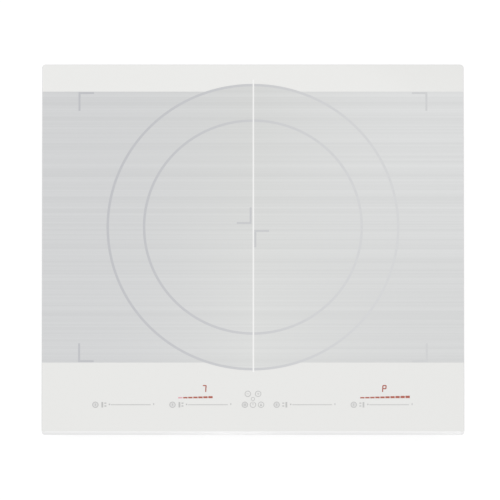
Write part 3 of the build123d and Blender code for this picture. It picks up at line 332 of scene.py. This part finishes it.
# ================================================================ finishes of the casing
def sheet_steel(name, level, metallic=0.85):
    """Galvanised sheet: patches of zinc crystal that differ in level, under fine rolling lines."""
    finish = Finish(name)
    spangle = finish.cells(420.0, "Color")
    split = finish.node("ShaderNodeSeparateColor", None, {"Color": spangle})
    rolled = finish.noise(1.0, 3.0, 0.6, finish.stretched(9.0, 700.0, 700.0))
    patch = split * 0.45 + rolled * 0.55
    finish.feed("Base Color", finish.mix(patch, grey(level - 8), grey(level + 8)))
    finish.feed("Roughness", patch.between(0.0, 1.0, 0.24, 0.40))
    finish.feed("Metallic", rolled.between(0.0, 1.0, metallic - 0.05, metallic + 0.05))
    finish.bump(rolled, 0.05, 0.00003)
    return finish.material


def turned_steel(name, level):
    """Zinc-plated or spring steel: fine drawn lines and a few dull specks."""
    finish = Finish(name)
    drawn = finish.noise(1.0, 4.0, 0.6, finish.stretched(2600.0, 2600.0, 90.0))
    specks = finish.noise(420.0, 3.0, 0.7)
    tone = drawn * 0.6 + specks * 0.4
    finish.feed("Base Color", finish.mix(tone, grey(level - 22), grey(level + 14)))
    finish.feed("Roughness", specks.between(0.3, 0.7, 0.24, 0.42))
    finish.feed("Metallic", drawn.between(0.0, 1.0, 0.88, 1.0))
    finish.bump(drawn, 0.08, 0.00004)
    return finish.material


def mill_aluminium(name, level):
    """Mill-finish aluminium: long straight rolling lines along X and a soft cloud."""
    finish = Finish(name)
    rolled = finish.noise(1.0, 4.0, 0.65, finish.stretched(8.0, 1500.0, 1500.0))
    cloud = finish.noise(30.0, 2.0, 0.5)
    tone = rolled * 0.7 + cloud * 0.3
    finish.feed("Base Color", finish.mix(tone, grey(level - 14), grey(level + 10)))
    finish.feed("Roughness", tone.between(0.3, 0.7, 0.26, 0.40))
    finish.feed("Metallic", cloud.between(0.0, 1.0, 0.92, 1.0))
    finish.bump(rolled, 0.06, 0.00003)
    return finish.material


def moulding(name, colour, rough, texture=1500.0, depth=0.00006):
    """Moulded plastic: a fine eroded texture with a slow drift of tone."""
    finish = Finish(name)
    pits = finish.noise(texture, 3.0, 0.6)
    drift = finish.noise(18.0, 2.0, 0.5)
    darker = tuple(channel * 0.82 for channel in colour)
    lighter = tuple(min(channel * 1.18, 0.9) for channel in colour)
    finish.feed("Base Color", finish.mix(pits * 0.5 + drift * 0.5, darker, lighter))
    finish.feed("Roughness", pits.between(0.25, 0.75, rough - 0.06, rough + 0.08))
    finish.bump(pits, 0.18, depth)
    return finish.material


def foam():
    """Closed-cell seal: a skin of small open cells."""
    finish = Finish("foam_seal")
    pores = finish.cells(1400.0)
    drift = finish.noise(30.0, 2.0, 0.5)
    tone = pores * 0.7 + drift * 0.3
    finish.feed("Base Color", finish.mix(tone, (0.016, 0.016, 0.017), (0.05, 0.05, 0.052)))
    finish.feed("Roughness", pores.between(0.0, 0.6, 0.95, 0.80))
    finish.bump(pores, 0.35, 0.00015)
    return finish.material


def litz():
    """Enamelled strands twisted round each turn: painted highlights on the strands' crests and
    painted shade between them.
    """
    finish = Finish("litz_winding", Coat_Weight=0.5, Coat_Roughness=0.15)
    strands = finish.noise(1.0, 2.0, 0.6, finish.stretched(1700.0, 1700.0, 1700.0, 0.7))
    cloud = finish.noise(45.0, 2.0, 0.5)
    tone = (strands * 0.75 + cloud * 0.25).between(0.3, 0.7)
    # Painted highlight and painted shade: the strands go from dark copper between them to bright
    # copper on their crests.
    finish.feed("Base Color", finish.mix(tone, (0.30, 0.085, 0.03), (0.74, 0.32, 0.15)))
    finish.feed("Roughness", strands.between(0.3, 0.7, 0.42, 0.25))
    finish.feed("Metallic", cloud.between(0.0, 1.0, 0.75, 0.9))
    finish.bump(strands, 0.3, 0.0001)
    return finish.material


def sintered(name, dark, light, scale):
    """Pressed and fired body: grains of two tones with a few open pores."""
    finish = Finish(name)
    grains = finish.cells(scale)
    cloud = finish.noise(scale / 14, 3.0, 0.6)
    finish.feed("Base Color", finish.mix(grains * 0.5 + cloud * 0.5, dark, light))
    finish.feed("Roughness", grains.between(0.0, 0.7, 0.72, 0.50))
    finish.bump(grains, 0.2, 0.00006)
    return finish.material


def laminate():
    """Green solder mask: the glass weave shows faintly through it, with copper runs below."""
    finish = Finish("board_laminate", Coat_Weight=0.4, Coat_Roughness=0.12)
    threads = 4200.0
    weave = (finish.along("X") * threads).sine() * (finish.along("Y") * threads).sine()
    runs = finish.noise(1.0, 1.0, 0.3, finish.stretched(60.0, 420.0, 1.0))
    copper = runs.between(0.50, 0.53)
    woven = weave.between(-1.0, 1.0)
    base = finish.mix(woven, (0.010, 0.070, 0.024), (0.018, 0.105, 0.038))
    finish.feed("Base Color", finish.mix(copper * 0.6, base, (0.030, 0.19, 0.07)))
    finish.feed("Roughness", weave.between(-1.0, 1.0, 0.30, 0.42))
    finish.bump(copper, 0.15, 0.00006)
    return finish.material


def ribbon():
    """Flat lead of parallel wires that run side by side across X, with a ridge for each, painted
    lighter on the crests and darker in the grooves as painted highlight and painted shade.
    """
    finish = Finish("ribbon_lead")
    ridge = (finish.along("X") * 5200.0).sine()
    cloud = finish.noise(60.0, 2.0, 0.5)
    # Painted highlight on each wire's crest and painted shade in the grooves between them.
    painted_crest_light = ridge.between(-1.0, 1.0)
    finish.feed("Base Color", finish.mix(painted_crest_light, (0.36, 0.36, 0.37), (0.56, 0.56, 0.57)))
    finish.feed("Roughness", cloud.between(0.2, 0.8, 0.48, 0.62))
    finish.bump(ridge, 0.4, 0.0001)
    return finish.material


def slot_finishes():
    """The finish of each material slot that the frame's own nodes use."""
    return {
        "seal_foam": foam(),
        "rail_steel": sheet_steel("rail_steel", 196),
        "casing_steel": sheet_steel("casing_steel", 190),
        "screw_steel": turned_steel("screw_steel", 188),
        "spring_steel": turned_steel("spring_steel", 196),
        "carrier_aluminium": mill_aluminium("carrier_aluminium", 214),
        "former_plastic": moulding("former_plastic", (0.022, 0.021, 0.020), 0.55),
        "black_plastic": moulding("black_plastic", (0.016, 0.016, 0.017), 0.50),
        "component_black": moulding("component_black", (0.012, 0.012, 0.013), 0.42, 2200.0),
        "component_grey": moulding("component_grey", (0.17, 0.18, 0.19), 0.35, 2200.0, 0.00003),
        "display_red": moulding("display_guide", (0.42, 0.03, 0.02), 0.25, 900.0, 0.00003),
        "litz_copper": litz(),
        "ferrite": sintered("ferrite", (0.010, 0.010, 0.011), (0.030, 0.030, 0.033), 2400.0),
        "mica": sintered("mica", (0.36, 0.30, 0.19), (0.56, 0.50, 0.36), 700.0),
        "sensor_ceramic": sintered(
            "sensor_ceramic", (0.62, 0.60, 0.56), (0.76, 0.74, 0.70), 2600.0
        ),
        "board_laminate": laminate(),
        "ribbon_grey": ribbon(),
    }


def dress_frame():
    """Gives each of the frame's nodes the finish of its slot in the record."""
    finishes = slot_finishes()
    for part in frame["record"]["subparts"]:
        finish = finishes.get(part["material_slot"])
        if finish:
            mesh = frame["nodes"][part["node"]].data
            mesh.materials.clear()
            mesh.materials.append(finish)


# ============================================================ surfaces worked out in numpy
def circle(centre, radius, start=0.0, end=360.0, steps=96):
    """Points at centre + radius * (cos a, sin a), for angles a spread evenly from start to end."""
    closed = abs(end - start) >= 360.0
    angles = np.radians(np.linspace(start, end, steps, endpoint=not closed))
    return np.array(centre) + radius * np.column_stack([np.cos(angles), np.sin(angles)])


def stroke(path, width, top, closed=False):
    """A flat ribbon of ink: a rectangle as wide as the line is carried along the path.

    At each point the two sides stand half a width off along the mean of the two neighbours'
    normals, divided by the cosine of half the turn, so that corners are mitred.
    """
    path = np.asarray(path, float)
    ahead = np.roll(path, -1, 0) - path
    if not closed:
        ahead[-1] = ahead[-2]
    ahead /= np.linalg.norm(ahead, axis=1)[:, None]
    behind = np.roll(ahead, 1, 0)
    if not closed:
        behind[0] = ahead[0]
    normal = np.column_stack([-(ahead + behind)[:, 1], (ahead + behind)[:, 0]])
    normal /= (1.0 + (ahead * behind).sum(1))[:, None]
    sides = [path + side * normal * width / 2 for side in (-1, 1)]
    ring = [np.column_stack([p, np.full(len(p), z)]) for z in (INK_ROOT, top) for p in sides]
    low_right, low_left, high_right, high_left = range(4)
    order = [low_right, high_right, high_left, low_left]
    vertices = np.concatenate([ring[k] for k in order])
    count = len(path)
    here = np.arange(count if closed else count - 1)
    after = (here + 1) % count
    faces = []
    for k in range(4):
        this, following = k * count, (k + 1) % 4 * count
        quad = [here + this, after + this, after + following, here + following]
        faces += np.column_stack(quad).tolist()
    if not closed:
        faces.append([0, count, 2 * count, 3 * count])
        faces.append([4 * count - 1, 3 * count - 1, 2 * count - 1, count - 1])
    return vertices, faces


def prism(outline, top):
    """An outline that runs anticlockwise, raised from the ink's root to the top, closed at both."""
    outline = np.asarray(outline, float)
    count = len(outline)
    levels = [np.column_stack([outline, np.full(count, z)]) for z in (INK_ROOT, top)]
    vertices = np.concatenate(levels)
    here = np.arange(count)
    after = (here + 1) % count
    faces = np.column_stack([here, after, after + count, here + count]).tolist()
    faces += [here[::-1].tolist(), (here + count).tolist()]
    return vertices, faces


def bar(x0, x1, y0, y1, top):
    """A rectangle of ink between two values of X and two of Y."""
    return prism([(x0, y0), (x1, y0), (x1, y1), (x0, y1)], top)


def piece(name, shapes, material):
    """One object from several closed shapes, riding on the casing."""
    vertices, faces, start = [], [], 0
    for points, polygons in shapes:
        vertices.append(points)
        faces += [[start + corner for corner in polygon] for polygon in polygons]
        start += len(points)
    mesh = bpy.data.meshes.new(name)
    mesh.from_pydata(np.concatenate(vertices).tolist(), [], faces)
    mesh.materials.append(material)
    mesh.update()
    made = bpy.data.objects.new(name, mesh)
    bpy.context.collection.objects.link(made)
    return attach(made, BODY)


# ==================================================================== the glass plate
CORNER_R, CORNER_STEPS = 5 * MM, 12
BEVEL_W, BEVEL_H = 4.5 * MM, 2.4 * MM
ARRIS = 0.6 * MM


def glass_plate():
    """The plate: an outline carried through six levels, from the underside to the top.

    The outline is a rectangle with quarter-circle corners. At each level it is drawn in along
    its own normal: by a small arris at the sides and the back, and by the bevel at the front,
    where the inset follows the y part of the normal, so the bevel dies away round the corners.
    """
    outline, normals = [], []
    for quarter, (sx, sy) in enumerate([(1, 1), (-1, 1), (-1, -1), (1, -1)]):
        middle = (sx * (WIDTH / 2 - CORNER_R), (FRONT + BACK) / 2 + sy * (DEPTH / 2 - CORNER_R))
        points = circle(middle, CORNER_R, quarter * 90, quarter * 90 + 90, CORNER_STEPS)
        outline.append(points)
        normals.append((points - np.array(middle)) / CORNER_R)
    outline, normals = np.concatenate(outline), np.concatenate(normals)
    front = np.clip(-normals[:, 1], 0.0, 1.0)
    skin = TOP - INK_RELIEF
    # inset at the sides, inset at the front, height at the sides, height at the front
    levels = {
        "underside": (ARRIS, ARRIS, UNDERSIDE, UNDERSIDE),
        "foot": (0.0, 0.0, UNDERSIDE + ARRIS, UNDERSIDE + ARRIS),
        "edge": (0.0, 0.0, skin - ARRIS, skin - BEVEL_H - ARRIS),
        "shoulder": (ARRIS * 0.3, ARRIS * 0.4, skin - ARRIS * 0.3, skin - BEVEL_H),
        "slope": (ARRIS * 0.6, BEVEL_W - ARRIS, skin - ARRIS * 0.1, skin - ARRIS * 0.4),
        "top": (ARRIS, BEVEL_W, skin, skin),
    }
    rings = []
    for side_inset, front_inset, side_z, front_z in levels.values():
        inset = side_inset + (front_inset - side_inset) * front
        height = side_z + (front_z - side_z) * front
        rings.append(np.column_stack([outline - normals * inset[:, None], height]))
    count = len(outline)
    here = np.arange(count)
    after = (here + 1) % count
    faces = []
    for k in range(len(rings) - 1):
        this, above = k * count, (k + 1) * count
        faces += np.column_stack([here + this, after + this, after + above, here + above]).tolist()
    edges = len(faces)
    faces += [here[::-1].tolist(), (here + (len(rings) - 1) * count).tolist()]
    shape = (np.concatenate(rings), faces)
    made = piece("white_glass_plate", [shape], white_glass())
    made.data.materials.append(glass_edge())
    on_edge = np.arange(len(faces)) < edges
    made.data.polygons.foreach_set("material_index", on_edge.astype(int))
    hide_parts("glass_plate")


# ==================================================================== printed decor
RING_STROKE = 3.4 * MM
MARK_STROKE = 2.7 * MM
MARK_ARMS = (20 * MM, 25 * MM)
FIELD_MARGIN = 0.6 * MM
SWELL_STEPS, RING_STEPS = 40, 256
MIDDLE_MARK_AT = (3.2 * MM, 5.5 * MM)           # from the middle of the field
MIDDLE_MARK_ARMS = {"back": (19 * MM, 22 * MM), "front": (19 * MM, 23 * MM)}
CENTRE_LINE_X, CENTRE_LINE_W = 0.6 * MM, 2.2 * MM
PAST_RING_BACK, PAST_RING_FRONT = 6.0 * MM, 2.4 * MM


def field_outline():
    """The band across the plate, with the arc of the outer ring where it swells past the band."""
    half_w, half_d = WIDTH / 2 - FIELD_MARGIN, ZONE_D + FIELD_MARGIN
    radius = RING_R[0]
    angle = math.degrees(math.asin(half_d / radius))
    right = [(half_w, FIELD_Y - half_d), (half_w, FIELD_Y + half_d)]
    back = circle((0, FIELD_Y), radius, angle, 180 - angle, SWELL_STEPS)
    left = [(-half_w, FIELD_Y + half_d), (-half_w, FIELD_Y - half_d)]
    front = circle((0, FIELD_Y), radius, 180 + angle, 360 - angle, SWELL_STEPS)
    return np.concatenate([right, back, left, front])


def corner_mark(corner, towards, arms):
    """A right-angled mark: two arms from one corner, along X and along Y."""
    x, y = corner
    path = [(x + towards[0] * arms[0], y), (x, y), (x, y + towards[1] * arms[1])]
    return stroke(path, MARK_STROKE, LINE_TOP)


def field_marks():
    """The outer corners of the four zones, and the two marks at the middle."""
    marks = []
    for sx in (-1, 1):
        for sy in (-1, 1):
            corner = (sx * (ZONE_W - MARK_STROKE / 2), FIELD_Y + sy * (ZONE_D - MARK_STROKE / 2))
            marks.append(corner_mark(corner, (-sx, -sy), MARK_ARMS))
    x, y = MIDDLE_MARK_AT
    marks.append(corner_mark((-x, FIELD_Y + y), (-1, 1), MIDDLE_MARK_ARMS["back"]))
    marks.append(corner_mark((x, FIELD_Y - y), (1, -1), MIDDLE_MARK_ARMS["front"]))
    return marks


def cooking_field():
    """The grey field with its rings and marks, and the white line down its middle."""
    piece("field_print", [prism(field_outline(), FIELD_TOP)], field_print())
    grey_ink = ink("ring_ink", RING_LEFT, RING_RIGHT)
    for name, radius in zip(("outer_ring", "inner_ring"), RING_R):
        path = circle((0, FIELD_Y), radius - RING_STROKE / 2, steps=RING_STEPS)
        piece(name, [stroke(path, RING_STROKE, INK_TOP, closed=True)], grey_ink)
    mark_ink = ink("mark_ink", MARK_LEFT, MARK_RIGHT)
    piece("zone_marks", field_marks(), mark_ink)
    near = FIELD_Y - RING_R[0] - PAST_RING_FRONT
    far = FIELD_Y + RING_R[0] + PAST_RING_BACK
    shape = stroke([(CENTRE_LINE_X, near), (CENTRE_LINE_X, far)], CENTRE_LINE_W, LINE_TOP)
    piece("centre_line", [shape], ink("white_ink", LINE_WHITE, LINE_WHITE))


# ================================================================== keys and sliders
KEY_STROKE, THIN_STROKE = 1.0 * MM, 0.6 * MM
KEY_R, BELL_R = 3.8 * MM, 2.3 * MM
KEY_BEFORE_SLIDER = 18.4 * MM           # from the slider's start back to its on key
SYMBOL_BEFORE_SLIDER = 7.0 * MM
SLIDER_LINE = (3.0 * MM, 57.5 * MM)     # from the slider's start
KEY_X, UPPER_KEY_X = 11.1 * MM, 7.1 * MM


def ring_key(centre, radius=KEY_R, width=KEY_STROKE):
    """A round key: the stroke carried round a full circle."""
    return stroke(circle(centre, radius, steps=64), width, INK_TOP, closed=True)


def line(x0, y0, x1, y1, width=KEY_STROKE):
    """A straight stroke between two points."""
    return stroke([(x0, y0), (x1, y1)], width, INK_TOP)


def dot(centre, radius, top=INK_TOP):
    """A filled disc."""
    return prism(circle(centre, radius, steps=32), top)


def zone_symbol(x, side):
    """A tall bar for the slider's own side of the hob, and two marks for the other side."""
    near, far = sorted((x + side * 0.7 * MM, x + side * 3.1 * MM))
    shapes = [bar(near, far, KEY_Y - 3.8 * MM, KEY_Y + 3.8 * MM, INK_TOP)]
    near, far = sorted((x - side * 0.9 * MM, x - side * 3.7 * MM))
    for low in (KEY_Y - 2.6 * MM, KEY_Y + 1.4 * MM):
        shapes.append(bar(near, far, low, low + 1.7 * MM, INK_TOP))
    return shapes


def slider(start, side):
    """On key, zone symbol, and the line to slide along between a dot and a short upright."""
    key_x, line_end = start - KEY_BEFORE_SLIDER, start + SLIDER_L
    shapes = [ring_key((key_x, KEY_Y)), line(key_x, KEY_Y - 1.5 * MM, key_x, KEY_Y + 1.7 * MM)]
    shapes += zone_symbol(start - SYMBOL_BEFORE_SLIDER, side)
    shapes.append(dot((start + 0.9 * MM, KEY_Y + 0.5 * MM), 1.1 * MM))
    shapes.append(line(start + SLIDER_LINE[0], KEY_Y, start + SLIDER_LINE[1], KEY_Y, 0.95 * MM))
    shapes.append(line(line_end, KEY_Y - 0.4 * MM, line_end, KEY_Y + 2.2 * MM, 1.3 * MM))
    return shapes


def key_fills():
    """Pale discs under the on keys of the sliders and the pause key."""
    places = [start - KEY_BEFORE_SLIDER for start in SLIDER_STARTS] + [-KEY_X]
    return [dot((x, KEY_Y), KEY_R, FIELD_TOP) for x in places]


def pause_key(x):
    """A round key with two short uprights."""
    shapes = [ring_key((x, KEY_Y))]
    for bar_x in (x - 0.9 * MM, x + 0.9 * MM):
        shapes.append(line(bar_x, KEY_Y - 1.6 * MM, bar_x, KEY_Y + 1.6 * MM))
    return shapes


def power_key():
    """A circle open at the back, with an upright in its opening."""
    arc = circle((0, KEY_Y), KEY_R, 118, 422, 56)
    upright = line(0, KEY_Y - 0.4 * MM, 0, KEY_Y + 4.6 * MM, 0.9 * MM)
    return [stroke(arc, KEY_STROKE, INK_TOP), upright]


def lock_key(x):
    """A round key with a padlock: a filled body and a half-round shackle."""
    body = bar(x - 1.3 * MM, x + 1.3 * MM, KEY_Y - 1.8 * MM, KEY_Y + 0.3 * MM, INK_TOP)
    shackle = circle((x, KEY_Y + 0.5 * MM), 1.0 * MM, 0, 180, 20)
    return [ring_key((x, KEY_Y)), body, stroke(shackle, 0.5 * MM, INK_TOP)]


def minus_key(x):
    """A round key with one level stroke."""
    arm = 1.7 * MM
    level = line(x - arm, UPPER_KEY_Y, x + arm, UPPER_KEY_Y, THIN_STROKE)
    return [ring_key((x, UPPER_KEY_Y)), level]


def plus_key(x):
    """A minus key with an upright arm to either side of its stroke."""
    arm, clear = 1.7 * MM, 0.35 * MM
    lower = line(x, UPPER_KEY_Y - arm, x, UPPER_KEY_Y - clear, THIN_STROKE)
    upper = line(x, UPPER_KEY_Y + clear, x, UPPER_KEY_Y + arm, THIN_STROKE)
    return minus_key(x) + [lower, upper]


def centre_keys():
    """Pause, on and off, and lock along the front; minus, timer and plus above them."""
    shapes = pause_key(-KEY_X) + power_key() + lock_key(KEY_X)
    shapes += minus_key(-UPPER_KEY_X) + plus_key(UPPER_KEY_X)
    shapes.append(ring_key((0, BELL_Y), BELL_R, 0.8 * MM))
    return shapes


def controls():
    """The four sliders with their keys, the pale key fills and the keys in the middle."""
    key_ink = ink("key_ink", KEY_LEFT, KEY_RIGHT)
    for number, (start, side) in enumerate(zip(SLIDER_STARTS, SLIDER_SIDES), 1):
        piece(f"slider_print_{number}", slider(start, side), key_ink)
    piece("key_fills", key_fills(), ink("pale_ink", KEY_PALE, KEY_PALE))
    piece("centre_keys", centre_keys(), key_ink)


# ======================================================================= red display
BAR_PITCH = 6.9 * MM
BAR_GAP = 1.0 * MM
BAR_LOW, BAR_STEP = 1.8 * MM, 0.17 * MM         # lowest segment, and what each one adds
BAR_BASE, BAR_CLIMB = BAR_Y - 1.2 * MM, 0.05 * MM
BAR_STARTS, BAR_COUNTS = (-102.6 * MM, 147.2 * MM), (7, 10)
DIGITS_X = (-67.0 * MM, 180.0 * MM)
DIGIT_W, DIGIT_H = 4.3 * MM, 8.8 * MM
DIGIT_STROKE = 1.5 * MM
POINT_REACH, POINT_L = 0.375 * MM, 0.525 * MM   # a segment's points: past its ends, and long
SLANT = 0.06
SEGMENTS = {
    "top": ((0, 1), (1, 1)),
    "upper_right": ((1, 1), (1, 0.5)),
    "lower_right": ((1, 0.5), (1, 0)),
    "upper_left": ((0, 1), (0, 0.5)),
    "lower_left": ((0, 0.5), (0, 0)),
    "middle": ((0, 0.5), (1, 0.5)),
}
SEVEN = ("top", "upper_right", "lower_right")
BOOST = ("top", "upper_right", "middle", "upper_left", "lower_left")


def level_bar(left, count):
    """Segments side by side, each a little higher and taller than the last."""
    shapes = []
    for n in range(count):
        x0 = left + n * BAR_PITCH
        y0 = BAR_BASE + n * BAR_CLIMB
        shapes.append(bar(x0, x0 + BAR_PITCH - BAR_GAP, y0, y0 + BAR_LOW + n * BAR_STEP, LINE_TOP))
    return shapes


def digit(x, lit):
    """Seven-segment digit: each segment is a hexagon with pointed ends, the whole leaning right."""
    shapes = []
    size = np.array([DIGIT_W, DIGIT_H])
    origin = np.array([x - DIGIT_W / 2, DIGIT_Y - DIGIT_H / 2])
    half = DIGIT_STROKE / 2
    for name in lit:
        a, b = (np.array(end) * size for end in SEGMENTS[name])
        along = (b - a) / np.linalg.norm(b - a)
        side = np.array([-along[1], along[0]]) * half
        a, b = a - along * POINT_REACH, b + along * POINT_REACH
        after_a, before_b = a + along * POINT_L, b - along * POINT_L
        hexagon = np.array(
            [a, after_a - side, before_b - side, b, before_b + side, after_a + side]
        )
        hexagon[:, 0] += SLANT * hexagon[:, 1]
        shapes.append(prism(hexagon + origin, LINE_TOP))
    return shapes


def red_display():
    """Two level bars, the left one with a faint first segment, and a digit above each."""
    lit, faint = lit_segment(), faint_segment()
    left, right = (level_bar(start, count) for start, count in zip(BAR_STARTS, BAR_COUNTS))
    piece("level_bar_left", left[1:], lit)
    piece("level_bar_left_first", left[:1], faint)
    piece("level_bar_right", right, lit)
    piece("level_digit_left", digit(DIGITS_X[0], SEVEN), lit)
    piece("level_digit_right", digit(DIGITS_X[1], BOOST), lit)


# ================================================================ floor, light and camera
WHITE = (1.0, 1.0, 1.0, 1.0)
FLOOR_REACH, FLOOR_DROP, FLOOR_GLOW = 6.0, 0.5 * MM, 0.86
WORLD_LEVEL = 0.83
KEY_PLACE, KEY_SIZE, KEY_POWER = (-0.15, -0.3, 2.6), 2.4, 14.0
EDGE_CARDS = ((-0.031, 0.085), (0.30, 0.05))    # X and width of each card
CARD_HEIGHT, CARD_L = 1.02, 0.5
CARD_POWER = 5.5                                # per metre of width
ELEVATION = math.radians(78.0)
LENS, SENSOR, SEEN_WIDTH = 1600.0, 36.0, 0.687
AIM = (-4.05 * MM, -1.15 * MM, TOP)


def studio_floor():
    """A plain pale floor under the object; it glows a little so that it stays white all over."""
    low, reach = cad_low.z - FLOOR_DROP, FLOOR_REACH
    corners = [(x * reach, y * reach, low) for x, y in ((-1, -1), (1, -1), (1, 1), (-1, 1))]
    mesh = bpy.data.meshes.new("studio_floor")
    mesh.from_pydata(corners, [], [(0, 1, 2, 3)])
    finish = Finish(
        "studio_floor", Roughness=0.9, Emission_Strength=FLOOR_GLOW, Emission_Color=WHITE
    )
    cloud = finish.noise(3.0, 2.0, 0.5)
    finish.feed("Base Color", finish.mix(cloud, (0.19, 0.19, 0.19), (0.21, 0.21, 0.21)))
    mesh.materials.append(finish.material)
    floor = bpy.data.objects.new("studio_floor", mesh)
    bpy.context.collection.objects.link(floor)


def area_light(name, place, target, size, power):
    """A rectangular light at a place, turned to face its target."""
    data = bpy.data.lights.new(name, "AREA")
    data.shape = "RECTANGLE"
    data.size, data.size_y = size
    data.energy = power
    lamp = bpy.data.objects.new(name, data)
    lamp.location = place
    aim = Vector(target) - Vector(place)
    lamp.rotation_euler = aim.to_track_quat("-Z", "Y").to_euler()
    bpy.context.collection.objects.link(lamp)


def studio():
    """Even pale surroundings, one broad light above, and two cards that shine in the bevel."""
    world = bpy.data.worlds.new("studio")
    world.use_nodes = True
    background = world.node_tree.nodes["Background"].inputs
    background["Color"].default_value = WHITE
    background["Strength"].default_value = WORLD_LEVEL
    bpy.context.scene.world = world
    area_light("key_light", KEY_PLACE, (0, 0, 0), (KEY_SIZE, KEY_SIZE), KEY_POWER)
    for x, wide in EDGE_CARDS:
        place = (x, FRONT - 1.0, CARD_HEIGHT)
        area_light("edge_card", place, (x, FRONT, 0), (wide, CARD_L), CARD_POWER * wide)
    bpy.context.scene.view_settings.view_transform = "Standard"


def camera():
    """The camera looks down on the plate from the front, 78 degrees above the floor."""
    distance = SEEN_WIDTH * LENS / SENSOR
    data = bpy.data.cameras.new("camera")
    data.lens, data.sensor_width = LENS, SENSOR
    data.clip_end = distance * 10
    eye = bpy.data.objects.new("camera", data)
    away = Vector((0.0, -math.cos(ELEVATION), math.sin(ELEVATION)))
    eye.location = Vector(AIM) + distance * away
    eye.rotation_euler = (math.pi / 2 - ELEVATION, 0.0, 0.0)
    bpy.context.collection.objects.link(eye)
    bpy.context.scene.camera = eye


dress_frame()
glass_plate()
cooking_field()
controls()
red_display()
studio_floor()
studio()
camera()
